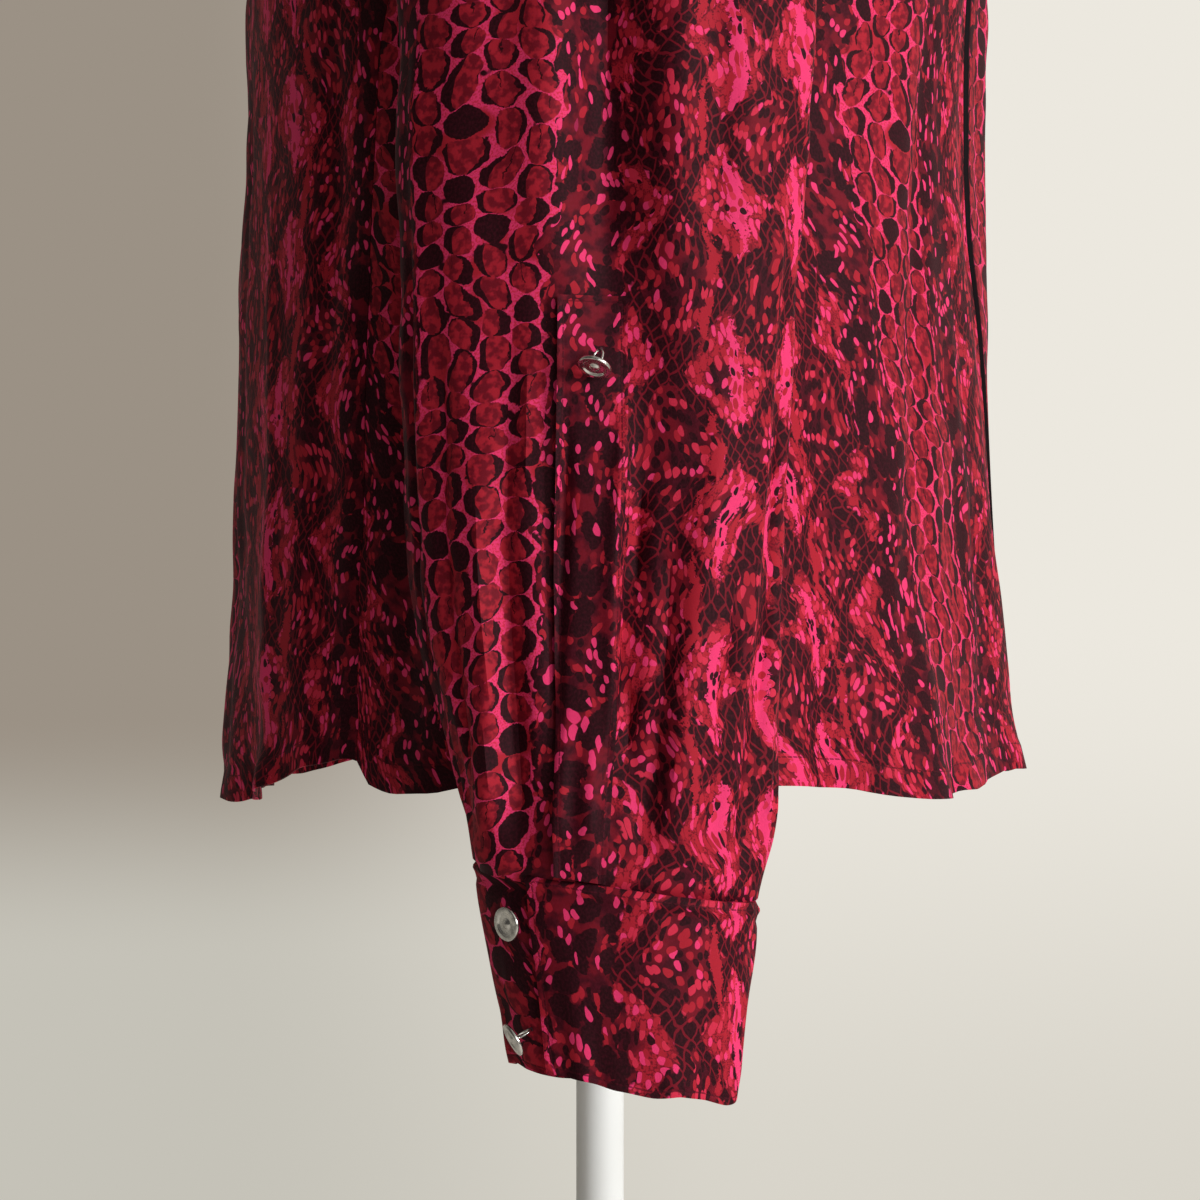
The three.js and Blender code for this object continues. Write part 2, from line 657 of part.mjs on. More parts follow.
// Sets a button on a point of the cloth, its stem along the way out.
function addButton(name, foot, out, stem) {
  const button = addMesh(name, buttonGeometry(stem), SILVER);
  button.position.copy(foot).addScaledVector(out, SEAM_GAP);
  button.quaternion.setFromUnitVectors(new THREE.Vector3(0, 1, 0), out.clone().normalize());
  return button;
}

// The wrist's buttons hang from their shanks, so some of them droop.
function wristButton(name, foot, out, droop, sideways, stem) {
  const hang = out.clone().add(new THREE.Vector3(0, sideways, -droop)).normalize();
  for (const side of ['right', 'left']) {
    const flip = side === 'left' ? new THREE.Vector3(-1, 1, 1) : new THREE.Vector3(1, 1, 1);
    const start = foot.clone().addScaledVector(out, 0.8);
    addButton(`${side}_${name}`, start.multiply(flip), hang.clone().multiply(flip), stem);
  }
}
function cuffSpot(level, turn) {
  const rows = CUFF_ROWS.map((row) => ({ ...row, z: -row.level }));
  const row = { level };
  for (const key of ['midX', 'midY', 'wide', 'deep']) row[key] = atHeight(rows, key, -level);
  const point = cuffPoint(row, turn);
  const next = cuffPoint(row, turn + 1).sub(cuffPoint(row, turn - 1));
  const out = new THREE.Vector3(next.y, -next.x, 0).normalize();
  if (out.x > 0) out.negate();
  return { point, out };
}
const upper = cuffSpot(769, 313);
wristButton('cuff_button_1', upper.point, upper.out, 0.15, 0.3, 3);
const lower = cuffSpot(735, 313);
wristButton('cuff_button_2', lower.point, lower.out, 0.7, 0.75, 5.5);
const gauntletSpot = gauntlet[1][1].clone();
gauntletSpot.y -= 2.5;
gauntletSpot.z += 2.5;
wristButton('gauntlet_button', gauntletSpot, new THREE.Vector3(-1, 0, 0), 0.8, 0.2, 6);

// The collar stand runs round the neckline; its right end laps over its left end.
const STAND_HEIGHT = 26;
function neckLoop() {
  const front = UPPER_ROWS.filter((share) => share >= FRONT_NECK_SHARE);
  const rear = UPPER_ROWS.filter((share) => share >= BACK_NECK_SHARE && share < 1).reverse();
  const right = [
    ...front.map((share) => neckAt(FRONT_NECKLINE, share, PLACKET_HALF, false)),
    ...rear.map((share) => neckAt(BACK_NECKLINE, share, 0, true)),
  ];
  const left = right.slice(0, -1).reverse().map(({ angle, z }) => ({ angle: 360 - angle, z }));
  return [...right, ...left];
}
const loopPlaces = neckLoop();
function loopBase(place) {
  const base = sectionPoint(BODY, place.angle, place.z);
  const out = new THREE.Vector3(base.x, base.y - RIDGE_Y, 0).normalize();
  return { base, out };
}
function standGrid() {
  const start = loopPlaces.map(loopBase);
  const last = start.length - 1;
  const ahead = new THREE.Vector3(0, -1, 0);
  const turn = angleAtX(PLACKET_HALF, FRONT_NECK_Z);
  const endRight = { base: bodyPoint(-turn, FRONT_NECK_Z), out: ahead };
  const endLeft = { base: bodyPoint(turn, FRONT_NECK_Z), out: ahead };
  const path = [endRight, ...start, endLeft];
  return [0, 0.5, 1].map((share) => path.map(({ base, out }, i) => {
    const fromRight = i;
    const fromLeft = last + 2 - i;
    const over = fromRight <= 2 ? 1.5 : 0;
    const under = fromLeft <= 2 ? -1.5 : 0;
    const height = mix(STAND_HEIGHT, STAND_HEIGHT + 6, smooth(4, 14, Math.min(fromRight, fromLeft)));
    const point = base.clone().addScaledVector(out, over + under + 1.1 - 6 * share);
    point.z += 1.2 + height * share;
    return point;
  }));
}
const stand = standGrid();
addMesh('collar_stand', wall(stand, FOLDED_CLOTH), PRINT);
const standFoot = stand[1][0].clone().lerp(stand[1][1], 0.5);
standFoot.y -= 0.8;
addButton('collar_button', standFoot, new THREE.Vector3(0, -1, 0), 1.2);

// The collar's fall hangs outside the stand. Each row is a place on its lower edge:
// how far round the neck it lies, and its distance from the centre line and height.
const REAR_SHARE = 0.55;
const FALL_EDGE = [
  { z: 0, x: 52, level: 1272 },
  { z: 0.12, x: 74, level: 1300 },
  { z: 0.3, x: 92, level: 1350 },
  { z: 0.46, x: 96, level: 1384 },
  { z: 0.6, x: 88, level: 1385 },
  { z: 0.78, x: 52, level: 1366 },
  { z: 1, x: 0, level: 1358 },
];
const FALL_CLEAR = 3.4;
function fallColumn(column, middle, lift) {
  const isLeft = column > middle;
  const share = 1 - Math.abs(column - middle) / middle;
  const top = stand[2][column + 2];
  const foot = stand[0][column + 2];
  const out = new THREE.Vector3(foot.x, foot.y - RIDGE_Y, 0).normalize();
  const level = atHeight(FALL_EDGE, 'level', share);
  const angle = angleAtX(atHeight(FALL_EDGE, 'x', share), level);
  const turn = share > REAR_SHARE ? 180 - angle : angle;
  const edge = bodyPoint(isLeft ? 360 - turn : turn, level, FALL_CLEAR + lift);
  const first = top.clone().addScaledVector(out, 0.35 + lift);
  const second = top.clone().lerp(foot, 0.55).addScaledVector(out, 3.4 + lift);
  const third = second.clone().lerp(edge, 0.5).addScaledVector(out, 1.5);
  return [edge, third, second, first];
}
function fallGrid(lift) {
  const middle = (stand[2].length - 5) / 2;
  const columns = [];
  for (let column = 0; column <= middle * 2; column += 1) columns.push(fallColumn(column, middle, lift));
  return columns[0].map((unused, r) => columns.map((column) => column[r]));
}
addMesh('collar', between(fallGrid(FOLDED_CLOTH), fallGrid(0)), PRINT);

// The dress form inside: smooth, a little smaller than the blouse and resting it on
// its shoulders.
const FORM_DEPTH = CLOTH + REST_GAP;
const FORM = [
  { z: FORM_BOTTOM_Z, half: 150, front: 108, back: 118 },
  { z: 900, half: 160, front: 112, back: 124 },
  { z: 960, half: 150, front: 106, back: 112 },
  { z: 1020, half: 126, front: 98, back: 94 },
  { z: 1070, half: 128, front: 104, back: 94 },
  { z: 1128, half: 150, front: 128, back: 108 },
  { z: 1190, half: 160, front: 142, back: 122 },
  { z: 1250, half: 170, front: 121, back: 122 },
  { z: 1290, half: 183, front: 95, back: 109 },
  { z: 1318, half: 187, front: 75, back: 95 },
  { z: 1338, half: 189.5, front: 65, back: 85 },
  { z: 1360, half: 149.9, front: 57, back: 72 },
  { z: 1385, half: 101.8, front: 52, back: 56 },
  { z: 1399, half: 73, front: 51, back: 53 },
  { z: 1409, half: 62, front: 51, back: 52 },
  { z: FORM_NECK_Z, half: 60, front: 52, back: 52 },
];
const FORM_COLUMNS = 32;
const FORM_LEVELS = [
  FORM_BOTTOM_Z, 866, 900, 935, 970, 1010, 1050, 1090, 1128, 1160, 1190, 1222, 1252, 1278,
  1300, 1318, 1330, 1340, 1352, 1366, 1382, 1394, 1403, 1413, FORM_NECK_Z,
];
function formSolid() {
  const step = 0.5;
  const places = [];
  for (const z of FORM_LEVELS) {
    for (let c = 0; c < FORM_COLUMNS; c += 1) {
      const angle = c / FORM_COLUMNS * 360;
      const along = sectionPoint(FORM, angle + step, z).sub(sectionPoint(FORM, angle - step, z));
      const up = sectionPoint(FORM, angle, z + step).sub(sectionPoint(FORM, angle, z - step));
      const normal = new THREE.Vector3().crossVectors(up, along).normalize();
      const covered = 1 - smooth(1395, 1412, z);
      const point = sectionPoint(FORM, angle, z).addScaledVector(normal, -FORM_DEPTH * covered);
      if (z === FORM_BOTTOM_Z || z === FORM_NECK_Z) point.z = z;
      places.push(point.x, point.y, point.z);
    }
  }
  const rows = FORM_LEVELS.length;
  const bottom = rows * FORM_COLUMNS;
  places.push(0, RIDGE_Y, FORM_BOTTOM_Z, 0, RIDGE_Y, FORM_NECK_Z);
  const faces = [];
  for (let c = 0; c < FORM_COLUMNS; c += 1) {
    const next = (c + 1) % FORM_COLUMNS;
    for (let r = 0; r < rows - 1; r += 1) {
      const a = r * FORM_COLUMNS + c;
      const b = r * FORM_COLUMNS + next;
      faces.push(a, a + FORM_COLUMNS, b + FORM_COLUMNS, a, b + FORM_COLUMNS, b);
    }
    faces.push(bottom, c, next);
    faces.push(bottom + 1, (rows - 1) * FORM_COLUMNS + next, (rows - 1) * FORM_COLUMNS + c);
  }
  const geometry = new THREE.BufferGeometry();
  geometry.setAttribute('position', new THREE.Float32BufferAttribute(places, 3));
  geometry.setIndex(faces);
  return mergedSolid(geometry);
}
addMesh('form_torso', formSolid(), FORM_CLOTH);

// A turned solid about the vertical axis, from a profile of [radius, height] pairs.
function turned(profile, segments) {
  const lathe = new THREE.LatheGeometry(profile.map(([r, z]) => new THREE.Vector2(r, z)), segments);
  lathe.deleteAttribute('normal');
  lathe.deleteAttribute('uv');
  lathe.rotateX(Math.PI / 2);
  return mergedSolid(lathe);
}
const CAP_PROFILE = [[0, 0], [50, 0], [50, 5], [40, 12], [22, 16], [0, 17]];
const cap = addMesh('form_cap', turned(CAP_PROFILE, 28), PAINTED_STEEL);
cap.position.set(0, RIDGE_Y, FORM_NECK_Z + SEAM_GAP);
const poleTop = FORM_BOTTOM_Z - SEAM_GAP;
const pole = addMesh('form_pole', turned([
  [0, 0], [28, 0], [28, 6], [POLE_RADIUS + 3, 14], [POLE_RADIUS, 22],
  [POLE_RADIUS, poleTop - BASE_THICKNESS - SEAM_GAP], [0, poleTop - BASE_THICKNESS - SEAM_GAP],
], 24), PAINTED_STEEL);
pole.position.z = BASE_THICKNESS + SEAM_GAP;
addMesh('form_base', turned([
  [0, 0], [BASE_RADIUS, 0], [BASE_RADIUS, BASE_THICKNESS - 4],
  [BASE_RADIUS - 4, BASE_THICKNESS], [0, BASE_THICKNESS],
], 48), PAINTED_STEEL);

export default blouse;
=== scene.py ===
"""A button-down blouse in snake print, hanging on a limbless dress form.

Every length in the tables is in millimetres, and the meshes are made in metres. The
wearer's front faces -Y and the wearer's right side is -X. Each cloth piece is a thin
shell that follows the form of its own solid, with the folds it hangs in.
"""
import math

import bmesh
import bpy
import numpy as np
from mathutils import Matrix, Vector


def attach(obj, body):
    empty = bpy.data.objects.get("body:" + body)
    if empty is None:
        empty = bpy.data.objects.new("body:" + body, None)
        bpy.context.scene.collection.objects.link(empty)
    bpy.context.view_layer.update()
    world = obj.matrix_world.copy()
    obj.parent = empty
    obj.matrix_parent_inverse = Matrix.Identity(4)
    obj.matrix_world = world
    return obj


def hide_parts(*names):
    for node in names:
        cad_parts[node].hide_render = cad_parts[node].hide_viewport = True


bl_info = {
    "name": "Blouse on Dress Form",
    "version": (1, 0, 0),
    "blender": (4, 5, 0),
    "location": "3D View > Sidebar > Blouse",
    "description": "Snake-print blouse with deep unbuttoned cuffs on a limbless dress form",
    "category": "Add Mesh",
}

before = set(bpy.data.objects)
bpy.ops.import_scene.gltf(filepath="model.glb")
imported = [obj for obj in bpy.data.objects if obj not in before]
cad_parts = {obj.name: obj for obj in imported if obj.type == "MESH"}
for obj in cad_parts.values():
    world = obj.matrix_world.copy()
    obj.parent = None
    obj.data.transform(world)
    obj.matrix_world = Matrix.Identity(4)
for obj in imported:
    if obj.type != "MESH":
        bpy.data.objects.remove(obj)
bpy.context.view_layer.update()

# The blouse's own measures, the same as those of its solids.
SEAM_GAP = 0.3
RIDGE_Y = 5.0
PLACKET_HALF = 15.0
PLACKET_RAISE = 1.0
BAND_DEPTH = 1.5
BAND_CLOTH = 1.6
EDGE_DROP = 3.2
EDGE_ROLL = 3.4
FRONT_NECK_Z = 1318.0
UNDERARM_Z = 1128.0
FRONT_NECK_SHARE = 0.72
BACK_NECK_SHARE = 0.8
STAND_HEIGHT = 26.0
CUFF_TILT = 0.15
CUFF_START, CUFF_END = -37.0, 345.0
CUFF_LOW, CUFF_RIM, CUFF_TOP = 721.0, 782.5, 785.4
CUFF_CLOTH = 1.7
UNDERLAP_DEPTH = 2.8
GAUNTLET_TURN = 10.0
GAUNTLET_ROW, SLIT_ROW, LAST_ROW = 7, 8, 14
FORM_BOTTOM_Z, FORM_NECK_Z = 834.0, 1432.0
BASE_RADIUS, BASE_THICKNESS = 165.0, 12.0
POLE_RADIUS = 9.5
CAP_RADIUS = 50.0
ARMHOLE_CENTRE = np.array([-172.0, 10.0, 1235.0])

# Rows of a panel below and above the underarm, and how they crowd towards the shoulder.
LOWER_ROWS, UPPER_ROWS, ROW_CROWDING = 104, 84, 1.5

# The photo's camera: its turn about the object, distance and height, and its focal length
# in pixels of a picture 1200 pixels wide.
CAMERA_AZIMUTH, CAMERA_DISTANCE, CAMERA_HEIGHT = 272.5, 1.245, 0.877
FOCAL_PIXELS, PICTURE_PIXELS = 3113.0, 1200.0
SENSOR_WIDTH = 36.0


def smooth(low, high, value):
    """0 below low, 1 above high and a soft rise between."""
    t = np.clip((value - low) / (high - low), 0.0, 1.0)
    return t * t * (3.0 - 2.0 * t)


class Table:
    """Rows of named columns, read smoothly at any value of their first column."""

    def __init__(self, names, rows):
        values = np.array(rows, float).T
        self.key = values[0]
        self.columns = dict(zip(names.split()[1:], values[1:]))

    def at(self, name, key):
        x, y = self.key, self.columns[name]
        slope = np.empty_like(y)
        slope[1:-1] = (y[2:] - y[:-2]) / (x[2:] - x[:-2])
        slope[0] = (y[1] - y[0]) / (x[1] - x[0])
        slope[-1] = (y[-1] - y[-2]) / (x[-1] - x[-2])
        key = np.clip(key, x[0], x[-1])
        i = np.clip(np.searchsorted(x, key, side="right") - 1, 0, len(x) - 2)
        span = x[i + 1] - x[i]
        t = (key - x[i]) / span
        t2, t3 = t * t, t * t * t
        start = (2 * t3 - 3 * t2 + 1) * y[i] + (t3 - 2 * t2 + t) * span * slope[i]
        return start + (3 * t2 - 2 * t3) * y[i + 1] + (t3 - t2) * span * slope[i + 1]


# Sections of the blouse body: half its width, and its depth to the front and the back.
BODY = Table("z half front back", [
    (795, 186, 160, 147), (900, 183, 149, 143.5), (1010, 180, 145, 141),
    (1128, 177, 145, 139), (1200, 176, 144, 134), (1250, 180, 126, 126),
    (1290, 187, 100, 112), (1318, 190.5, 79, 99), (1338, 192.2, 72, 89),
    (1360, 149.9, 64, 77), (1385, 101.8, 60, 61), (1400, 73, 56, 56),
])
# Sections of the dress form under it.
FORM = Table("z half front back", [
    (834, 150, 108, 118), (900, 160, 112, 124), (960, 150, 106, 112),
    (1020, 126, 98, 94), (1070, 128, 104, 94), (1128, 150, 128, 108),
    (1190, 160, 142, 122), (1250, 170, 121, 122), (1290, 183, 95, 109),
    (1318, 187, 75, 95), (1338, 189.5, 65, 85), (1360, 149.9, 57, 72),
    (1385, 101.8, 52, 56), (1399, 73, 51, 53), (1409, 62, 51, 52), (1432, 60, 52, 52),
])
# The hem's height over the angle from the centre front.
HEM = Table("angle level", [
    (0, 811), (9, 809), (22, 805.5), (36, 805.5), (56, 811.5), (90, 812), (112, 811),
    (120, 812), (123.4, 820.5), (130, 817), (141, 807.5), (154, 801.5), (180, 799.5),
])
# The front opening swings to the right below the bust; the side seams run a little back.
SEAM_LINES = Table("z opening side", [
    (800, 3, 124), (869, 5, 123.3), (893, 6.5, 123), (936, 8.5, 122.5), (983, 12, 121.8),
    (1022, 16, 121), (1085, 17, 118.5), (1128, 15, 112), (1200, 9, 112), (1250, 4, 112),
    (1290, 1, 112), (1318, 0, 112),
])
# The armholes from the underarm up to the shoulder, over the share of the panel above it.
FRONT_ARMHOLE = Table("share angle level", [
    (0, 112, 1128), (0.12, 100, 1131), (0.3, 79, 1160), (0.52, 67, 1216),
    (0.74, 64.5, 1276), (0.9, 68, 1316), (1, 90, 1338),
])
BACK_ARMHOLE = Table("share angle level", [
    (0, 112, 1128), (0.12, 117, 1133), (0.3, 119, 1162), (0.52, 120, 1218),
    (0.74, 119, 1278), (0.9, 113, 1317), (1, 90, 1338),
])
# The front edge and neckline and the back neckline, as distances from the centre line.
FRONT_NECKLINE = Table("share x level", [
    (0, 0, 1128), (0.3, 0, 1190), (0.52, 0, 1250), (0.72, 15, 1318), (0.8, 38, 1327),
    (0.88, 57, 1345), (0.94, 68, 1369), (1, 73, 1400),
])
BACK_NECKLINE = Table("share x level", [
    (0, 0, 1128), (0.3, 0, 1200), (0.6, 0, 1310), (0.8, 0, 1385), (0.87, 29, 1385.6),
    (0.93, 52, 1389), (1, 73, 1400),
])
UPPER_SHARES = [
    0, 0.09, 0.19, 0.3, 0.42, 0.54, 0.64, 0.72, 0.8, 0.87, 0.92, 0.957, 0.982, 0.996, 1,
]

# Large folds of the body: middle angle, width, depth (in where negative), the height where
# the fold starts and the height where it is full.
BODY_FOLDS = [
    (1, 9.5, 9, 1260, 1130), (24, 9, -4, 1150, 800), (39, 9, 4, 1060, 800),
    (53, 8, -6, 1130, 800), (68, 8, 2, 960, 800), (120, 9, -7, 1180, 800),
    (138, 10, 3, 1010, 800), (154, 10, -6, 1130, 800), (171, 9, 3, 1050, 800),
    (188, 10, -6, 1090, 800), (206, 10, 4, 1020, 800), (226, 12, -6, 1140, 800),
    (244, 9, -4, 1100, 800), (297, 10, -5, 1110, 800), (317, 10, 4, 1020, 800),
    (338, 9, -5, 1090, 800),
]
# Soft creases of the cloth between them: angle at the top and at the bottom, top and
# bottom height, width and depth.
BODY_CREASES = [
    (30, 33, 1120, 830, 3.2, -2.2), (44, 47, 1060, 900, 2.6, 1.6), (36, 40, 960, 815, 2.4, -1.8),
    (58, 60, 1000, 812, 2.6, 1.5), (74, 71, 1090, 880, 2.8, -1.4), (20, 17, 1000, 850, 2.2, 1.2),
    (12, 15, 930, 818, 2.4, -1.6), (84, 80, 1230, 1120, 3.4, -2.4), (76, 66, 1200, 1085, 3, 1.5),
    (64, 50, 1180, 1060, 3.4, -2), (48, 30, 1240, 1150, 4, -1.6), (96, 90, 1110, 960, 3, -1.4),
    (104, 106, 1000, 815, 2.6, 1.6), (112, 114, 1080, 830, 2.2, -1.8), (130, 129, 1110, 840, 3, -2.4),
    (146, 143, 1040, 815, 2.6, 1.8), (162, 165, 1100, 860, 3, -2), (178, 176, 1060, 815, 2.8, 1.6),
    (170, 168, 940, 806, 2.2, -1.4), (196, 199, 1130, 900, 3.2, -2.2), (214, 211, 1010, 812, 2.4, 1.6),
    (234, 238, 1090, 840, 3, -2.2), (252, 250, 1000, 815, 2.6, 1.5), (266, 270, 1080, 870, 2.8, -1.6),
    (284, 280, 1120, 930, 3, 1.4), (304, 307, 1010, 820, 2.4, -1.8), (326, 322, 1080, 850, 3, 1.6),
    (346, 343, 980, 818, 2.4, -1.6), (276, 290, 1220, 1110, 3.4, -2.2), (296, 312, 1200, 1070, 3.4, 1.6),
    (150, 138, 1240, 1140, 3.6, -1.8), (210, 222, 1240, 1140, 3.6, -1.8), (180, 184, 1200, 1100, 4, 1.2),
    (126, 120, 1230, 1140, 3, 1.6), (234, 241, 1230, 1140, 3, 1.6), (333, 328, 1230, 1120, 3.6, -1.8),
]

# The sleeve's rings, from the one after the armhole down to the wrist: the outermost and
# the innermost point, and half the width from front to back.
SLEEVE = Table("row outX outY outZ inX inY inZ wide", [
    (0, 211, 3, 1326, 174, 46, 1131.5, 69), (1, 227, 0, 1300, 179, 39, 1132, 70),
    (2, 237.5, -4, 1258, 182.5, 27, 1128, 70), (3, 243, -7, 1200, 184.3, 14, 1117, 70),
    (4, 245, -9, 1136, 183.8, 0, 1099, 70), (5, 245, -10, 1075, 183, -11.6, 1070, 69.5),
    (6, 245.5, -9.5, 1009, 184.5, -10, 1009, 67.8), (7, 246, -8.8, 975, 185.5, -8.5, 975, 66.3),
    (8, 247, -8.6, 955, 186, -8, 955, 65.3), (9, 248, -8, 925, 187.5, -8.6, 925, 64),
    (10, 249, -7, 895, 189.5, -10.5, 895, 62), (11, 251, -6.5, 865, 192.5, -14, 865, 58.8),
    (12, 252.5, -6, 838, 195, -19, 838, 54.5), (13, 253.5, -5.2, 812, 197, -25, 812, 50.3),
    (14, 254, -4.5, 786, 198, -26, 786, 45.3),
])
# Folds of the sleeve: place round the ring (0 outside, 90 front), width, depth, top, low.
SLEEVE_FOLDS = [
    (16, 9, -4, 1260, 800), (44, 14, 3, 1180, 780), (72, 12, -4, 1120, 780),
    (120, 16, -4, 1080, 780), (205, 16, -3, 1040, 780), (245, 13, -4, 1090, 780),
    (318, 14, 3, 1150, 780), (336, 9, -6, 905, 780),
]
# Soft creases of the sleeve, with the same columns as those of the body.
SLEEVE_CREASES = [
    (1, 5, 1230, 962, 8, -8.5), (344, 346, 1190, 985, 7, 2.8), (19, 24, 1180, 960, 8, 3),
    (14, 15.5, 925, 822, 2.4, -3), (8, 9, 950, 830, 2.6, 1.8), (352, 350, 948, 800, 2.4, -2.2),
    (343, 341, 1000, 810, 2.6, 1.4), (336, 333, 960, 800, 2.8, -1.8), (326, 322, 930, 800, 3, 1.6),
    (312, 308, 980, 800, 3.4, -2.2), (300, 296, 1080, 900, 4, 1.2), (290, 286, 1010, 830, 4, -1.8),
    (30, 34, 1140, 990, 5, -1.6), (38, 33, 960, 800, 3.4, 1.4), (28, 25, 930, 796, 3, -1.8),
    (52, 49, 900, 796, 3.4, -1.8), (62, 58, 1030, 850, 5, 1.6), (80, 76, 960, 800, 4, -1.6),
    (96, 100, 1080, 880, 6, -2), (110, 104, 940, 796, 4.5, 1.6), (130, 134, 1100, 930, 6, -1.6),
    (150, 146, 960, 800, 5, 1.5), (172, 168, 1040, 820, 6, -1.8), (190, 194, 980, 800, 5, 1.4),
    (222, 226, 1060, 840, 6, -2), (234, 238, 930, 796, 4.5, 1.6), (258, 254, 1090, 880, 5.5, -2),
    (268, 271, 940, 796, 4, 1.6), (20, 52, 1290, 1180, 7, -1.8), (340, 318, 1290, 1170, 7, -1.8),
    (64, 88, 1240, 1120, 8, -2.2), (296, 270, 1240, 1120, 8, -2.2), (0, 358, 1300, 1210, 6, 1.2),
]
# Sections of the cuff: its middle, and half its width and its depth.
CUFF = Table("level midX midY wide deep", [
    (721, 227, -17, 38, 27.5), (752, 226.5, -16, 42.5, 28),
    (779, 226, -15, 46, 28.8), (785.4, 226, -15.2, 45.5, 28.4),
])
# The lower edge of the collar's fall, from its front end (0) to the middle of the back (1).
FALL_EDGE = Table("share x level", [
    (0, 52, 1272), (0.12, 74, 1300), (0.3, 92, 1350), (0.46, 96, 1384),
    (0.6, 88, 1385), (0.78, 52, 1366), (1, 0, 1358),
])
REAR_SHARE = 0.55
FALL_CLEAR = 3.4

# Where each piece was cut from the printed cloth, across it and along it.
CUT_FROM = {
    "right_front": (-72.0, 0.0), "left_front": (31.0, 40.0), "back": (-6.0, 20.0),
    "band": (20.0, 160.0), "stand": (70.0, 5.0), "fall": (150.0, 66.0),
    "right_sleeve": (41.0, 15.0), "left_sleeve": (13.0, 87.0),
    "right_cuff": (20.0, 30.0), "left_cuff": (24.0, 90.0),
    "right_placket": (28.0, 44.0), "left_placket": (30.0, 120.0),
}


def soft_noise(x, y, seed, around=64):
    """A smooth random field between -1 and 1, with a bump a unit, closed after `around`."""
    grid = np.random.RandomState(seed).rand(64, 64) * 2 - 1
    x, y = np.broadcast_arrays(np.asarray(x, float), np.asarray(y, float))
    i, j = np.floor(x).astype(int), np.floor(y).astype(int)
    s, t = x - i, y - j
    s, t = s * s * (3 - 2 * s), t * t * (3 - 2 * t)
    near, far = i % around, (i + 1) % around
    low = grid[near, j % 64] * (1 - s) + grid[far, j % 64] * s
    high = grid[near, (j + 1) % 64] * (1 - s) + grid[far, (j + 1) % 64] * s
    return low * (1 - t) + high * t


# The wearer's two sides, with the sign that mirrors a piece made for the right one.
SIDES = (("right", 1.0), ("left", -1.0))
# Keeps the level part of a direction.
LEVEL = np.array([1.0, 1.0, 0.0])


def turned_from(angle, middle):
    """How far an angle is from another, round the circle, from -180 to 180."""
    return (angle - middle + 540.0) % 360.0 - 180.0


def folds_at(folds, angle, z, power):
    """The large folds' move along the normal."""
    move = np.zeros(np.broadcast(angle, z).shape)
    for middle, width, depth, top, full in folds:
        away = turned_from(angle, middle) / width
        grown = np.clip((top - z) / (top - full), 0, 1) ** power
        move += depth * grown * np.exp(-away * away)
    return move


def creases_at(creases, angle, z):
    """The soft creases' move along the normal; each fades out at both of its ends."""
    """The soft creases' move along the normal: each fades in and out along its length."""
    move = np.zeros(np.broadcast(angle, z).shape)
    for start, end, top, low, width, depth in creases:
        share = (top - z) / (top - low)
        there = smooth(0, 0.3, share) * (1 - smooth(0.78, 1.12, share))
        middle = start + turned_from(end, start) * share + 1.2 * np.sin(share * 5 + start)
        away = turned_from(angle, middle) / (width * (0.75 + 0.5 * share))
        move += depth * there * np.exp(-away * away)
    return move


def unit(vectors):
    """The same directions with a length of one."""
    return vectors / np.maximum(np.linalg.norm(vectors, axis=-1, keepdims=True), 1e-9)


def section(table, angle, z):
    """A point of a horizontal section: angle 0 is the centre front, 90 the right side."""
    angle, z = np.broadcast_arrays(np.asarray(angle, float), np.asarray(z, float))
    turn = np.radians(angle)
    c = np.cos(turn)
    reach = np.where(c > 0, table.at("front", z) + RIDGE_Y, table.at("back", z) - RIDGE_Y)
    return np.stack([-table.at("half", z) * np.sin(turn), RIDGE_Y - reach * c, z], -1)


def section_normal(table, angle, z, step=0.4):
    """The way out of a horizontal section's surface."""
    along = section(table, angle + step, z) - section(table, angle - step, z)
    up = section(table, angle, z + step) - section(table, angle, z - step)
    return unit(np.cross(up, along))


def swung(place, z):
    """The angle of a place on the body, turned with the front opening where that swings."""
    side = SEAM_LINES.at("side", z)
    share = np.clip(1 - np.abs(turned_from(place, 0)) / side, 0, 1)
    return place + SEAM_LINES.at("opening", z) * share


def body_point(place, z, out=0.0):
    """The blouse's outer surface with its folds, moved out by a further distance."""
    angle = swung(place, z)
    move = np.asarray(out + folds_at(BODY_FOLDS, angle, z, 1.3))[..., None]
    return section(BODY, angle, z) + section_normal(BODY, angle, z) * move


def angle_at_x(x, z):
    """The angle at which the body's front lies so far from its centre line."""
    return np.degrees(np.arcsin(np.clip(x / BODY.at("half", z), -1, 1)))


def hem_level(place):
    """The hem's height, with its small waves."""
    place = np.asarray(place, float)
    return HEM.at("level", np.abs(turned_from(place, 0))) + 1.5 * soft_noise(place / 6, 0, 21, 60)


def opened(z):
    """How far the front opening stands loose: none at the neck, all from the bust down."""
    return smooth(1300, 1230, z)


def body_relief(place, z):
    """Creases, hem curls and the cloth's own softness, on top of the large folds."""
    angle = swung(place, z)
    strength = bpy.context.scene.blouse_sizes.crease_strength
    low = smooth(1250, 1080, z)
    move = creases_at(BODY_CREASES, angle, z)
    move += 1.1 * low * soft_noise(angle / 18, z / 46, 3, 20)
    move += 0.5 * soft_noise(angle / 6, z / 17, 5, 60)
    above = z - hem_level(place)
    curl = smooth(30, 0, above) ** 1.5
    move += curl * (0.8 + 3.4 * soft_noise(angle / 7.5, z / 90, 11, 48))
    move += curl * 1.6 * soft_noise(angle / 3, z / 60, 12, 64)
    return move * strength * smooth(1330, 1285, z)


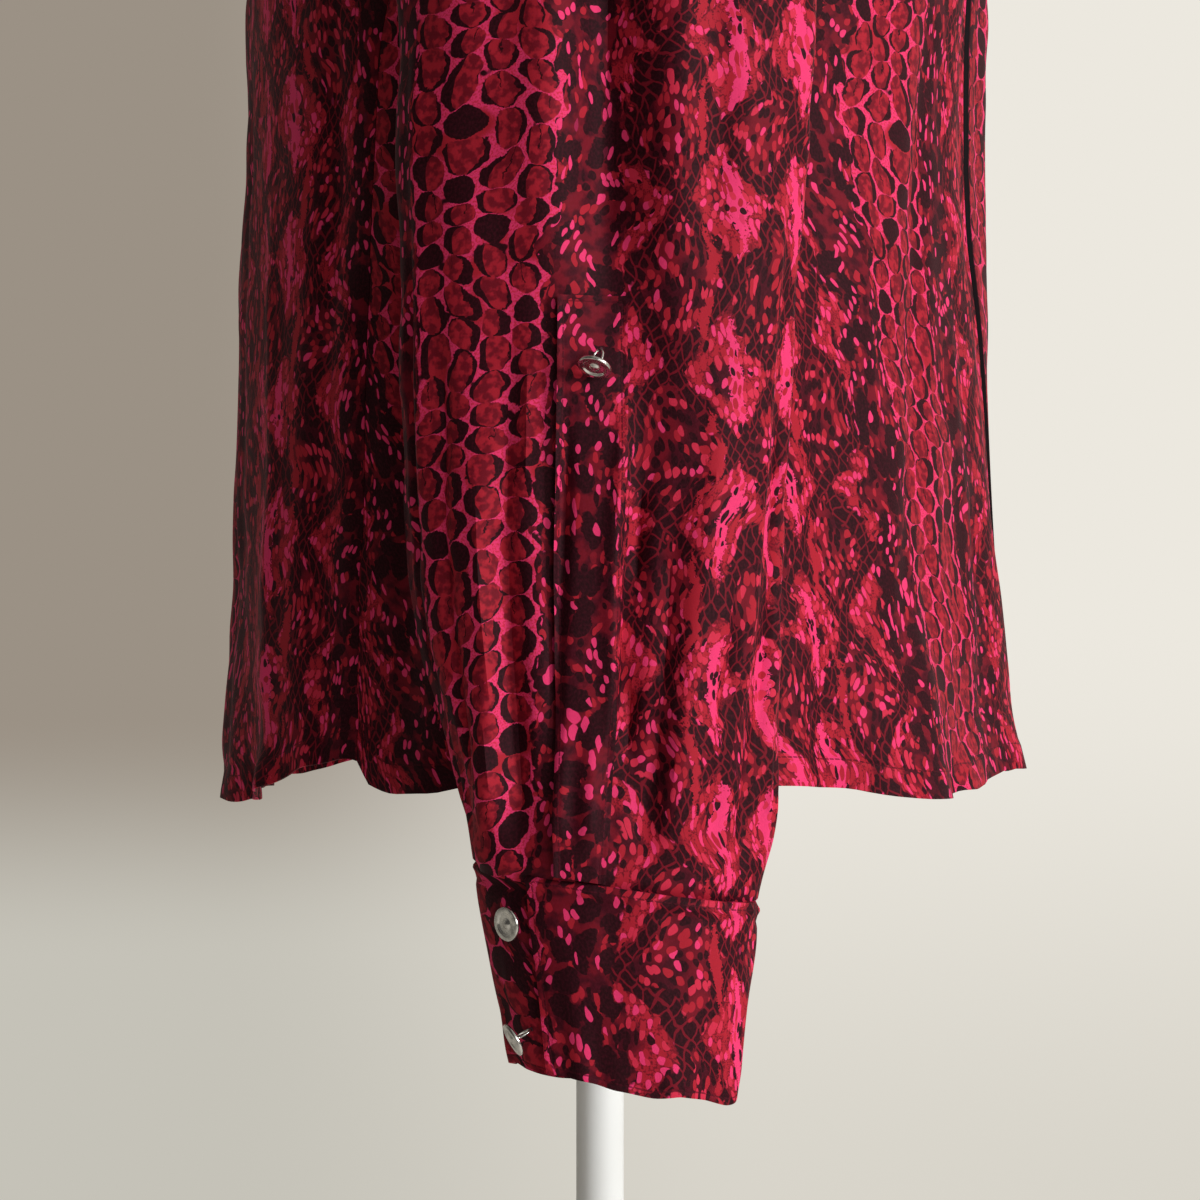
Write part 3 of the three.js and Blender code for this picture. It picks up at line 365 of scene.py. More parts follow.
# Meshes.
def add_piece(name, points, faces, material, weld=0.0, layers=None):
    """A mesh object from points in millimetres, with its material and smooth faces."""
    mesh = bpy.data.meshes.new(name)
    mesh.from_pydata((np.asarray(points) / 1000.0).tolist(), [], faces)
    for layer, values in (layers or {}).items():
        attribute = mesh.attributes.new(layer, "FLOAT_VECTOR", "POINT")
        attribute.data.foreach_set("vector", np.asarray(values, np.float32).ravel())
    bm = bmesh.new()
    bm.from_mesh(mesh)
    if weld:
        bmesh.ops.remove_doubles(bm, verts=bm.verts, dist=weld / 1000.0)
    bmesh.ops.recalc_face_normals(bm, faces=bm.faces)
    bm.to_mesh(mesh)
    bm.free()
    mesh.shade_smooth()
    mesh.set_sharp_from_angle(angle=math.radians(48))
    mesh.materials.append(material)
    piece = bpy.data.objects.new(name, mesh)
    bpy.context.scene.collection.objects.link(piece)
    return piece


def carried(piece, slot, *nodes):
    """Hang a piece under the root body and hide the model's nodes it stands for; slot, what it is made of,
    is not used.
    """
    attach(piece, "root")
    if nodes:
        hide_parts(*nodes)


def ring_faces(rows, columns):
    """Faces of a form of closed rings, with a cap at each end."""
    faces = []
    for r in range(rows - 1):
        for c in range(columns):
            a, b = r * columns + c, r * columns + (c + 1) % columns
            faces.append((a, b, b + columns, a + columns))
    faces.append(tuple(range(columns))[::-1])
    faces.append(tuple(range((rows - 1) * columns, rows * columns)))
    return faces


def grid_faces(rows, columns, start, flip=False):
    """Faces of a grid of points whose first one has the number start."""
    faces = []
    for r in range(rows - 1):
        for c in range(columns - 1):
            a = start + r * columns + c
            quad = (a, a + columns, a + columns + 1, a + 1)
            faces.append(quad[::-1] if flip else quad)
    return faces


def shell_faces(rows, columns, start, first=None, last=None):
    """Faces of a closed wall between two grids, one after the other. first and last say
    for each row whether the first and last column end in a rim."""
    size = rows * columns
    faces = grid_faces(rows, columns, start) + grid_faces(rows, columns, start + size, True)
    for c in range(columns - 1):
        for r, flip in ((0, False), (rows - 1, True)):
            a = start + r * columns + c
            quad = (a, a + 1, a + 1 + size, a + size)
            faces.append(quad[::-1] if flip else quad)
    for r in range(rows - 1):
        for c, rims in ((0, first), (columns - 1, last)):
            if rims is None or rims[r]:
                a = start + r * columns + c
                faces.append((a, a + size, a + size + columns, a + columns))
    return faces


class Cloth:
    """Collects walls of one cloth piece: an outer and an inner grid with the cloth's own
    coordinates, and the stitches with painted shade: distance to the thread, length along it and painted
    shade."""

    def __init__(self):
        self.points, self.faces, self.cloth, self.stitch, self.count = [], [], [], [], 0

    def wall(self, outer, inner, cloth, stitch, first=None, last=None):
        rows, columns = outer.shape[:2]
        for grid in (outer, inner):
            self.points.append(grid.reshape(-1, 3))
            self.cloth.append(cloth.reshape(-1, 3))
            self.stitch.append(stitch.reshape(-1, 3))
        self.faces += shell_faces(rows, columns, self.count, first, last)
        self.count += rows * columns * 2

    def make(self, name, weld=0.0):
        layers = {"cloth": np.concatenate(self.cloth), "stitch": np.concatenate(self.stitch)}
        material = finish("Snake Print Cloth", print_cloth)
        piece = add_piece(name, np.concatenate(self.points), self.faces, material, weld, layers)
        carried(piece, "print_cloth")
        return piece


def arc_along(grid):
    """Distance along each row of a grid from its first column."""
    steps = np.linalg.norm(np.diff(grid, axis=1), axis=-1)
    return np.concatenate([np.zeros((len(grid), 1)), np.cumsum(steps, axis=1)], axis=1)


def arc_up(grid):
    """Distance up each column of a grid from its first row, which keeps its height."""
    return grid[:1, :, 2] + arc_along(grid.transpose(1, 0, 2)).T


def grid_normals(grid):
    """Normals of a grid whose rows go up and whose columns go round."""
    across = np.gradient(grid, axis=1)
    up = np.gradient(grid, axis=0)
    return unit(np.cross(up, across))


# Far enough from any thread for no stitch to show.
NO_STITCHES = 40.0


def stitch_row(across, along):
    """Stitch coordinates: distance to the thread line, and length along it."""
    across, along = np.broadcast_arrays(across, along)
    return np.stack([across, along, np.zeros_like(across)], -1)


def cloth_coordinates(u, z, shift):
    """Where a point lies on the printed cloth, from its distance round and its height."""
    return np.stack(np.broadcast_arrays(u + shift[0], z + shift[1], 0.0 * u), -1)


# The panels of the body.
def neck_at(neckline, share, least, is_back):
    """Angle and height of a panel's inner edge, along its centre and then its neckline."""
    z = np.interp(share, UPPER_SHARES, neckline.at("level", UPPER_SHARES))
    x = np.maximum(np.interp(share, UPPER_SHARES, neckline.at("x", UPPER_SHARES)), least)
    angle = np.where(share >= 1, 90.0, angle_at_x(x, z))
    return (180 - angle if is_back else angle), z


def panel_shares(columns):
    """Shares across a panel, closer together at its front edge."""
    return np.concatenate([np.linspace(0, 0.03, 15), np.linspace(0.03, 1, columns)[1:]])[None, :]


def upper_shares():
    """Shares of the way from the underarm up to the shoulder."""
    return 1 - (1 - np.linspace(0, 1, UPPER_ROWS)) ** ROW_CROWDING


def panel_places(neckline, armhole, t, start_x, is_back):
    """Angle and height of each grid point of a right-hand panel, hem to shoulder."""

    def centre(z):
        return np.full(np.shape(z), 180.0) if is_back else angle_at_x(start_x, z)

    guess = centre(900.0) * (1 - t) + SEAM_LINES.at("side", 900.0) * t
    share = np.linspace(0, 1, LOWER_ROWS, endpoint=False)[:, None]
    z = hem_level(guess) * (1 - share) + UNDERARM_Z * share
    place = centre(z) * (1 - t) + SEAM_LINES.at("side", z) * t
    up = upper_shares()
    neck_angle, neck_z = neck_at(neckline, up, max(start_x, 0.0), is_back)
    if start_x < 0:
        edge = up < FRONT_NECK_SHARE
        neck_angle = np.where(edge, angle_at_x(start_x, neck_z), neck_angle)
    up = up[:, None]
    arm_angle, arm_z = armhole.at("angle", up), armhole.at("level", up)
    upper_place = neck_angle[:, None] * (1 - t) + arm_angle * t
    upper_z = neck_z[:, None] * (1 - t) + arm_z * t
    return np.concatenate([place, upper_place]), np.concatenate([z, upper_z])


def side_seams(z, t):
    """How deep the cloth dips into its sewn seam at the side and the shoulder."""
    dip = 0.7 * np.exp(-((1 - t) * 150 / 2.2) ** 2)
    return -dip * smooth(1332, 1322, z)


def hem_stitches(place, z):
    """How far a point lies above the thread of the hem."""
    return z - hem_level(place) - bpy.context.scene.blouse_sizes.hem_depth * 1000


def hem_fold(place, z):
    """The hem is two more layers of cloth, so it stands out a little."""
    return 0.45 * smooth(0.8, -0.8, hem_stitches(place, z))


def make_panel(side, is_back, start_x, shift):
    """The outer and inner grid of a panel, its cloth coordinates, and its stitches with the painted shade
    beside the left front's edge.
    """
    sizes = bpy.context.scene.blouse_sizes
    wall = sizes.cloth_wall * 1000
    table = (BACK_NECKLINE, BACK_ARMHOLE) if is_back else (FRONT_NECKLINE, FRONT_ARMHOLE)
    t = np.linspace(0, 1, 78)[None, :] if is_back else panel_shares(84)
    place, z = panel_places(*table, t, start_x, is_back)
    t = np.broadcast_to(t, place.shape)
    mirrored = 360 - place if side == "left" else place
    x = section(BODY, place, z)[..., 0] * -1
    out = side_seams(z, t) + hem_fold(place, z)
    shade = np.zeros(place.shape)
    relief = body_relief(mirrored, z)
    if not is_back and side == "left":
        inset = x - start_x
        roll = smooth(0.2, 2.4, inset) * (1 - smooth(3, 16, inset)) * smooth(1312, 1275, z)
        sunk = EDGE_DROP * (1 - smooth(2, 20, inset)) * opened(z)
        out = out - BAND_DEPTH * (1 - smooth(16, 48, x)) + EDGE_ROLL * roll - sunk
        # Painted shade: the first 3 to 4 mm of the left front beside its edge are darkened to near black,
        # standing in for the groove's shadow under the right front's edge.
        shade = smooth(3.6, 2.7, inset) * smooth(1318, 1290, z)
        relief = relief * smooth(3, 20, inset)
    if not is_back and side == "right":
        out = out + PLACKET_RAISE * smooth(24, 14, x)
        out = out - EDGE_DROP * smooth(4, -12, x) * opened(z)
        relief = relief * smooth(0, 20, x + PLACKET_HALF)
    out = out + relief
    outer = body_point(mirrored, z, out)
    inner = body_point(mirrored, z, out - wall)
    for grid in (outer, inner):
        inward = unit(grid[:, -2] - grid[:, -1])
        grid[:, -1] += inward * SEAM_GAP / 2
        inward = unit(grid[-2] - grid[-1])
        grid[-1] += inward * SEAM_GAP / 2
    u = arc_along(outer) + x[:, :1]
    hem = hem_stitches(place, z)
    stitch = stitch_row(hem, u)
    stitch[..., 2] = shade
    sign = -1 if side == "left" else 1
    cloth = cloth_coordinates(u * sign, arc_up(outer), shift)
    if sign < 0:
        outer, inner, cloth, stitch = (grid[:, ::-1] for grid in (outer, inner, cloth, stitch))
    return outer, inner, cloth, stitch


def above_neck():
    """Rows of the back that stand above the neckline, where its two halves part."""
    return np.concatenate([np.zeros(LOWER_ROWS, bool), upper_shares() > BACK_NECK_SHARE + 1e-6])[1:]


# The sleeve.
def sleeve_ring(row, turn):
    """A point of the sleeve's rings: turn 0 is its outside, 90 its front."""
    value = {name: SLEEVE.at(name, row) for name in SLEEVE.columns}
    outer = np.stack(np.broadcast_arrays(-value["outX"], value["outY"], value["outZ"]), -1)
    inner = np.stack(np.broadcast_arrays(-value["inX"], value["inY"], value["inZ"]), -1)
    centre, deep = (outer + inner) / 2, (outer - inner) / 2
    depth = np.linalg.norm(deep, axis=-1)
    angle = np.radians(turn)
    wide = value["wide"]
    fold = folds_at(SLEEVE_FOLDS, turn, value["outZ"], 0.8)
    fold = fold * (1 - 0.75 * smooth(815, 788, value["outZ"]))
    side = np.stack(np.broadcast_arrays(0.0, -np.sin(angle) * wide, 0.0), -1)
    flat = side + deep * np.cos(angle)[..., None]
    outward = unit(np.stack(np.broadcast_arrays(
        deep[..., 0] * np.cos(angle) / depth * wide,
        -np.sin(angle) * depth,
        deep[..., 2] * np.cos(angle) / depth * wide,
    ), -1))
    point = centre + flat + outward * fold[..., None]
    tilt = CUFF_TILT * smooth(900, 790, value["outZ"])
    point[..., 2] += tilt * (point[..., 1] - centre[..., 1])
    return point


def armhole_ring(turn):
    """The armhole's points for places round the sleeve, a seam's gap inside the panels."""
    turn = np.asarray(turn, float) % 360
    folded = np.minimum(turn, 360 - turn)
    column = np.where(folded < 10, folded / 10, 1 + (folded - 10) / (170 / 11))
    share = np.interp(column / 12 * 14, range(15), UPPER_SHARES[::-1])
    is_front = turn <= 180
    angle = np.where(is_front, FRONT_ARMHOLE.at("angle", share), BACK_ARMHOLE.at("angle", share))
    level = np.where(is_front, FRONT_ARMHOLE.at("level", share), BACK_ARMHOLE.at("level", share))
    point = body_point(angle, level)
    normal = section_normal(BODY, swung(angle, level), level)
    away = ARMHOLE_CENTRE - point
    away = unit(away - normal * np.sum(away * normal, -1, keepdims=True))
    return point + away * (SEAM_GAP * 2 + 0.15)


def sleeve_surface(row, turn):
    """The sleeve's outer surface: row -1 is the armhole, 0 to 14 are the table's rings."""
    row, turn = np.broadcast_arrays(np.asarray(row, float), np.asarray(turn, float))
    ring = sleeve_ring(np.maximum(row, 0), turn)
    first = sleeve_ring(np.zeros_like(row), turn)
    onward = sleeve_ring(np.full_like(row, 0.25), turn) - first
    start = armhole_ring(turn)
    t = np.clip(row + 1, 0, 1)[..., None]
    t2, t3 = t * t, t * t * t
    chord = first - start
    leave = chord + np.array([-9.0, 0, 4.0]) * np.cos(np.radians(turn))[..., None].clip(0)
    cap = (2 * t3 - 3 * t2 + 1) * start + (t3 - 2 * t2 + t) * leave
    cap = cap + (3 * t2 - 2 * t3) * first + (t3 - t2) * onward * 2.5
    return np.where((row < 0)[..., None], cap, ring)


def sleeve_normal(row, turn, step=0.03):
    """The way out of the sleeve's surface."""
    up = sleeve_surface(row - step, turn) - sleeve_surface(row + step, turn)
    along = sleeve_surface(row, turn + 0.5) - sleeve_surface(row, turn - 0.5)
    return unit(np.cross(along, up))


def sleeve_point(row, turn, out=0.0):
    """The sleeve's surface with its creases and the small gathers above the cuff."""
    row, turn = np.broadcast_arrays(np.asarray(row, float), np.asarray(turn, float))
    point = sleeve_surface(row, turn)
    z = point[..., 2]
    move = creases_at(SLEEVE_CREASES, turn, z)
    move += 0.9 * soft_noise(turn / 36, z / 38, 8, 10)
    move += 0.45 * soft_noise(turn / 12, z / 13, 9, 30)
    gather = np.sin(np.radians(turn) * 21 + 2.5 * np.sin(np.radians(turn) * 4))
    move += 0.9 * gather * smooth(850, 800, z) * smooth(786, 812, z)
    move *= bpy.context.scene.blouse_sizes.crease_strength
    move *= smooth(0.0, 2.5, row + 1) * smooth(LAST_ROW, 13.2, row)
    return point + sleeve_normal(row, turn) * np.asarray(move + out)[..., None]


def row_steps(step):
    """Rows along the sleeve about a step apart, the first at the armhole."""
    lengths = [26, 26, 42, 58, 64, 61, 66, 34, 20, 30, 30, 30, 27, 26, 26]
    rows = [np.linspace(i - 1, i, max(2, round(length / step)), endpoint=False)
            for i, length in enumerate(lengths)]
    return np.concatenate(rows + [[float(LAST_ROW)]])[:, None]


# The cuff and the places of its buttons.
def cuff_point(level, turn, out=0.0):
    """A point of the cuff, whose end laps under its start, with one softened corner."""
    level, turn = np.broadcast_arrays(np.asarray(level, float), np.asarray(turn, float))
    inward = UNDERLAP_DEPTH * smooth(262, 312, turn) - out
    angle = np.radians(turn)
    y = CUFF.at("midY", level) - np.sin(angle) * (CUFF.at("wide", level) - inward)
    x = -CUFF.at("midX", level) - np.cos(angle) * (CUFF.at("deep", level) - inward)
    corner = 6.5 * smooth(26, 2, np.abs(turn - 90)) * smooth(734, 722, level)
    return np.stack([x, y, level + corner + CUFF_TILT * (y - CUFF.at("midY", level))], -1)


def cuff_place(level, turn):
    """A point of the cuff and the level way out of it."""
    point = cuff_point(level, turn)
    along = cuff_point(level, turn + 1) - cuff_point(level, turn - 1)
    out = unit(np.array([along[1], -along[0], 0.0]))
    return point, (-out if out[0] > 0 else out)


# The collar.
def neck_loop():
    """Base points of the collar stand round the neckline, and the way out of each."""
    front = np.array([s for s in UPPER_SHARES if s >= FRONT_NECK_SHARE])
    rear = np.array([s for s in UPPER_SHARES if BACK_NECK_SHARE <= s < 1][::-1])
    front_angle, front_z = neck_at(FRONT_NECKLINE, front, PLACKET_HALF, False)
    rear_angle, rear_z = neck_at(BACK_NECKLINE, rear, 0.0, True)
    angle, z = np.concatenate([front_angle, rear_angle]), np.concatenate([front_z, rear_z])
    angle = np.concatenate([angle, 360 - angle[-2::-1]])
    z = np.concatenate([z, z[-2::-1]])
    base = section(BODY, angle, z)
    out = unit((base - np.array([0, RIDGE_Y, 0])) * LEVEL)
    turn = angle_at_x(PLACKET_HALF, FRONT_NECK_Z)
    ends = [body_point(np.array(-turn), np.array(FRONT_NECK_Z)),
            body_point(np.array(turn), np.array(FRONT_NECK_Z))]
    ahead = np.array([[0.0, -1.0, 0.0]])
    base = np.concatenate([ends[0][None], base, ends[1][None]])
    return base, np.concatenate([ahead, out, ahead])


def stand_rows():
    """Three rows of points of the collar stand, lower edge first; its ends lap in front."""
    base, out = neck_loop()
    last = len(base) - 1
    from_end = np.minimum(np.arange(last + 1), last - np.arange(last + 1))
    lap = np.where(np.arange(last + 1) <= 2, 1.5, np.where(last - np.arange(last + 1) <= 2, -1.5, 0))
    height = STAND_HEIGHT + 6 * smooth(4, 14, from_end)
    rows = []
    for share in (0, 0.5, 1):
        point = base + out * (lap + 1.1 - 6 * share)[:, None]
        point[:, 2] += 1.2 + height * share
        rows.append(point)
    return np.array(rows)


def refined(grid, rows, columns):
    """A finer grid through the same points, smooth both ways."""
    def along(points, count):
        knots = np.arange(len(points), dtype=float)
        flat = points.reshape(len(points), -1)
        table = Table(" ".join(["k"] + [f"c{i}" for i in range(flat.shape[1])]),
                      np.column_stack([knots, flat]))
        places = np.linspace(0, len(points) - 1, count)
        fine = np.column_stack([table.at(f"c{i}", places) for i in range(flat.shape[1])])
        return fine.reshape((count,) + points.shape[1:])

    fine = along(grid, rows)
    return along(fine.transpose(1, 0, 2), columns).transpose(1, 0, 2)


def fall_rows(stand, lift):
    """The collar's fall over the stand: lower edge first, top edge last."""
    top, foot = stand[2, 2:-2], stand[0, 2:-2]
    count = len(top)
    middle = (count - 1) / 2
    column = np.arange(count)
    share = 1 - np.abs(column - middle) / middle
    out = unit((foot - np.array([0, RIDGE_Y, 0])) * LEVEL)
    level = FALL_EDGE.at("level", share)
    angle = angle_at_x(FALL_EDGE.at("x", share), level)
    turn = np.where(share > REAR_SHARE, 180 - angle, angle)
    turn = np.where(column > middle, 360 - turn, turn)
    edge = body_point(turn, level, FALL_CLEAR + lift)
    first = top + out * (0.35 + lift)
    second = top + (foot - top) * 0.55 + out * (3.4 + lift)
    third = (second + edge) / 2 + out * 1.5
    return np.array([edge, third, second, first])


# Materials.
def linear(red, green, blue, alpha=1.0):
    """A colour given in 0 to 255 display values, as the light values that shaders use."""
    values = [(c / 255 / 12.92) if c <= 10 else ((c / 255 + 0.055) / 1.055) ** 2.4
              for c in (red, green, blue)]
    return (*values, alpha)


class Number:
    """A number socket; expressions on it add Math nodes to its material."""

    def __init__(self, look, socket):
        self.look, self.socket = look, socket

    def _math(self, operation, *values):
        node = self.look.add("ShaderNodeMath", {"operation": operation}, dict(enumerate(values)))
        return Number(self.look, node.outputs[0])

    def __add__(self, other):
        return self._math("ADD", self, other)

    def __sub__(self, other):
        return self._math("SUBTRACT", self, other)

    def __rsub__(self, other):
        return self._math("SUBTRACT", other, self)

    def __mul__(self, other):
        return self._math("MULTIPLY", self, other)

    def __truediv__(self, other):
        return self._math("DIVIDE", self, other)

    __radd__ = __add__
    __rmul__ = __mul__

    def pingpong(self, size):
        return self._math("PINGPONG", self, size)

    def fraction(self):
        return self._math("FRACT", self)

    def floor(self):
        return self._math("FLOOR", self)

    def absolute(self):
        return self._math("ABSOLUTE", self)

    def largest(self, other):
        return self._math("MAXIMUM", self, other)

    def over(self, low, high):
        """0 below low and 1 above high, soft between; low may be the larger."""
        node = self.look.add(
            "ShaderNodeMapRange", {"interpolation_type": "SMOOTHSTEP"},
            {"Value": self, "From Min": low, "From Max": high, "To Min": 0.0, "To Max": 1.0})
        return Number(self.look, node.outputs["Result"])


class Look:
    """One material and the nodes in it."""

    def __init__(self, name):
        self.material = bpy.data.materials.new(name)
        self.material.use_nodes = True
        self.nodes = self.material.node_tree.nodes
        self.links = self.material.node_tree.links
        self.shader = self.nodes["Principled BSDF"]

    def add(self, kind, settings=None, sockets=None):
        """Any node, from its type, its settings and the values or links of its sockets."""
        node = self.nodes.new(kind)
        for name, value in (settings or {}).items():
            setattr(node, name, value)
        for name, value in (sockets or {}).items():
            if isinstance(name, int):
                socket = node.inputs[name]
            else:
                socket = next(s for s in node.inputs if name in (s.identifier, s.name) and s.enabled)
            self.feed(socket, value)
        return node

    def feed(self, socket, value):
        """Link a socket, or set it where the value is a constant."""
        if isinstance(value, Number):
            value = value.socket
        if isinstance(value, bpy.types.NodeSocket):
            self.links.new(value, socket)
        else:
            socket.default_value = value

    def mixed(self, mask, first, second):
        """A colour between two others."""
        node = self.add("ShaderNodeMix", {"data_type": "RGBA"},
                        {"Factor_Float": mask, "A_Color": first, "B_Color": second})
        return next(s for s in node.outputs if s.identifier == "Result_Color")

    def vector(self, x, y, z=0.0):
        return self.add("ShaderNodeCombineXYZ", None, {"X": x, "Y": y, "Z": z}).outputs[0]

    def noise(self, vector, scale, detail=2.0, roughness=0.5):
        node = self.add("ShaderNodeTexNoise", {"noise_dimensions": "3D"}, {
            "Vector": vector, "Scale": scale, "Detail": detail, "Roughness": roughness})
        return Number(self, node.outputs["Fac"])

    def cells(self, vector, randomness, feature="F1"):
        """Scattered cells: their distance and a colour of chance for each."""
        return self.add("ShaderNodeTexVoronoi", {"voronoi_dimensions": "2D", "feature": feature},
                        {"Vector": vector, "Scale": 1.0, "Randomness": randomness})

    def parts(self, colour):
        """The three parts of a colour or vector as numbers."""
        node = self.add("ShaderNodeSeparateColor", None, {"Color": colour})
        return [Number(self, node.outputs[i]) for i in range(3)]

    def chance(self, vector):
        """Three random numbers for each value of the vector."""
        node = self.add("ShaderNodeTexWhiteNoise", {"noise_dimensions": "2D"}, {"Vector": vector})
        return self.parts(node.outputs["Color"])

    def position(self, layer):
        """The three numbers that the mesh keeps in a layer, and the layer itself."""
        node = self.add("ShaderNodeAttribute", {"attribute_name": layer})
        parts = self.add("ShaderNodeSeparateXYZ", None, {"Vector": node.outputs["Vector"]})
        return [Number(self, parts.outputs[i]) for i in range(3)] + [node.outputs["Vector"]]

    def set(self, **sockets):
        for name, value in sockets.items():
            self.feed(self.shader.inputs[name.replace("_", " ")], value)

    def bump(self, height, distance, strength=1.0):
        node = self.add("ShaderNodeBump", None,
                        {"Strength": strength, "Distance": distance, "Height": height})
        self.links.new(node.outputs["Normal"], self.shader.inputs["Normal"])


def finish(name, builder):
    """The material of this name, made the first time it is asked for."""
    found = bpy.data.materials.get(name)
    if found:
        return found
    look = Look(name)
    builder(look)
    return look.material


class SnakePrint:
    """An ordinary snake-scale print in columns: what its motifs share, and the motifs."""

    REPEAT = 104.0
    SCALE_WIDTH, SCALE_HEIGHT = 12.4, 10.2
    DROP_WIDTH, DROP_HEIGHT = 2.2, 4.3
    BLOTCH_WIDTH, BLOTCH_HEIGHT = 7.2, 9.0
    NET_CELL, NET_SLANT = 4.3, 0.6
    DIAMOND_START, DIAMOND_HALF_WIDTH, DIAMOND_HALF_HEIGHT = 50.0, 19.0, 25.5
    BELLY_EDGE, BLOTCH_EDGE = 26.0, 49.5

    def __init__(self, look, u, v, place):
        colours = bpy.context.scene.blouse_colours
        self.look, self.place = look, place
        self.black, self.burgundy = tuple(colours.black), tuple(colours.burgundy)
        self.red, self.bright, self.pink = tuple(colours.red), tuple(colours.bright), tuple(colours.pink)
        self.wine = linear(62, 10, 22)
        self.ripple = look.noise(look.vector(u + 900.0, v), 0.1) - 0.5
        self.drift = look.noise(look.vector(u, v + 300.0), 0.1)
        self.fine = look.noise(look.vector(u, v + 500.0), 0.5) - 0.5
        self.speck = look.noise(look.vector(u + 77.0, v), 1.3, 1.0)
        self.patches = look.noise(look.vector(u + 40.0, v), 0.055, 1.0)

        # The print wanders a little on the cloth, and its columns turn back at each repeat.
        self.u = u + (look.noise(place, 0.02) - 0.5) * 26.0 + self.ripple * 5.0
        wander = look.noise(look.vector(u, v + 700.0), 0.02, 1.0) - 0.5
        self.v = v + wander * 22.0 + (self.drift - 0.5) * 5.0
        self.across = self.u.pingpong(self.REPEAT)

        # Small upright drops; each has three chances of its own.
        drops = look.cells(look.vector(self.u / self.DROP_WIDTH, self.v / self.DROP_HEIGHT), 0.75)
        self.drop = Number(look, drops.outputs["Distance"]).over(0.46, 0.39)
        self.chances = look.parts(drops.outputs["Color"])

    def colour(self):
        """The whole print: belly scales, blotches beside them, then diamonds and marks."""
        edge = self.across + self.ripple * 12.0 + self.fine * 3.0
        marked = self.marks(self.diamonds())
        colour = self.look.mixed(edge.over(self.BELLY_EDGE, self.BELLY_EDGE + 0.5),
                                 self.belly_scales(), self.blotches())
        return self.look.mixed(edge.over(self.BLOTCH_EDGE, self.BLOTCH_EDGE + 1.0), colour, marked)

    def belly_scales(self):
        """Round scales in columns, every second column half a scale lower."""
        look, fine, ripple = self.look, self.fine, self.ripple
        column = (self.u / self.SCALE_WIDTH).floor()
        high = self.v / self.SCALE_HEIGHT + (column * 0.5).fraction()
        row = high.floor()
        left, lower, kind = look.chance(look.vector(column, row))
        x = self.u / self.SCALE_WIDTH - column - 0.5 + fine * 0.13
        y = high - row - 0.5 + (self.speck - 0.5) * 0.09
        inside = ((x * x + y * y) * (0.88 + kind * 0.26)).over(0.274, 0.25)
        x = x + (left - 0.5) * 0.46
        y = y + (lower - 0.5) * 0.3
        core = (x * x * 1.35 + y * y * 0.5 + ripple * 0.12 + fine * 0.1).over(0.18, 0.165)
        slit = (x + fine * 0.14).absolute().over(0.026, 0.012) * (y + 0.1).over(0.0, 0.04)
        shade = look.mixed(look.noise(self.place, 0.3).over(0.42, 0.6), self.burgundy, self.red)
        lit = core - slit * kind.over(0.5, 0.52) - kind.over(0.93, 0.94)
        gap = look.mixed(self.speck.over(0.35, 0.55), self.bright, self.pink)
        gap = look.mixed(self.patches.over(0.36, 0.48), self.red, gap)
        gap = look.mixed(self.drift.over(0.62, 0.66), gap, self.black)
        return look.mixed(inside, gap, look.mixed(lit, self.black, shade))

    def blotches(self):
        """Dark blotches with a few drops in them, beside the belly scales."""
        look, (pick, tone, third) = self.look, self.chances
        cells = look.cells(look.vector(self.u / self.BLOTCH_WIDTH + self.fine * 0.5,
                                       self.v / self.BLOTCH_HEIGHT + self.ripple * 0.5), 0.95)
        blotch = Number(look, cells.outputs["Distance"]).over(0.52, 0.47)
        blotch = blotch * look.parts(cells.outputs["Color"])[0].over(0.2, 0.22)
        ground = look.mixed(look.noise(self.place, 0.16).over(0.4, 0.6), self.wine, self.burgundy)
        dotted = look.mixed(third.over(0.5, 0.52), self.red, self.black)
        ground = look.mixed(self.drop * tone.over(0.52, 0.54), ground, dotted)
        ground = look.mixed(blotch, ground, self.black)
        return look.mixed(self.drop * pick.over(0.84, 0.85), ground, self.pink)

    def net(self):
        """Black spots on the slant, with thin dark red threads between them."""
        look, slant = self.look, self.v * self.NET_SLANT
        cells = look.cells(look.vector((self.u + slant) / self.NET_CELL, (slant - self.u) / self.NET_CELL),
                           0.4, "DISTANCE_TO_EDGE")
        spot = Number(look, cells.outputs["Distance"]).over(0.06, 0.11)
        return look.mixed(spot, self.burgundy, self.black)

    def diamonds(self):
        """Diamonds of drops in the net, pinker in a ring and in patches."""
        look, (pick, tone, third) = self.look, self.chances
        high = self.v.pingpong(self.DIAMOND_HALF_HEIGHT) / self.DIAMOND_HALF_HEIGHT
        wide = self.across - self.DIAMOND_START
        wide = wide.pingpong(self.DIAMOND_HALF_WIDTH) / self.DIAMOND_HALF_WIDTH
        diamond = high + wide + self.ripple * 0.5
        hot = (diamond - 0.62).absolute().over(0.3, 0.05)
        hot = hot.largest(self.patches.over(0.5, 0.62) * diamond.over(0.9, 0.7))
        ground = look.mixed(self.patches.over(0.42, 0.56), self.wine, self.burgundy)
        ground = look.mixed(hot, ground, look.mixed(self.speck.over(0.45, 0.6), self.red, self.burgundy))
        dotted = look.mixed(tone.over(0.55, 0.56), self.red, self.bright)
        dotted = look.mixed((pick + hot * 0.24).over(0.86, 0.87), dotted, self.pink)
        dotted = look.mixed((third + hot * 0.34).over(0.4, 0.39), dotted, self.black)
        filled = look.mixed(self.drop, ground, dotted)
        rim = (diamond - 1.04 + self.fine * 0.2).absolute().over(0.2, 0.15)
        return look.mixed(rim, filled, self.net())

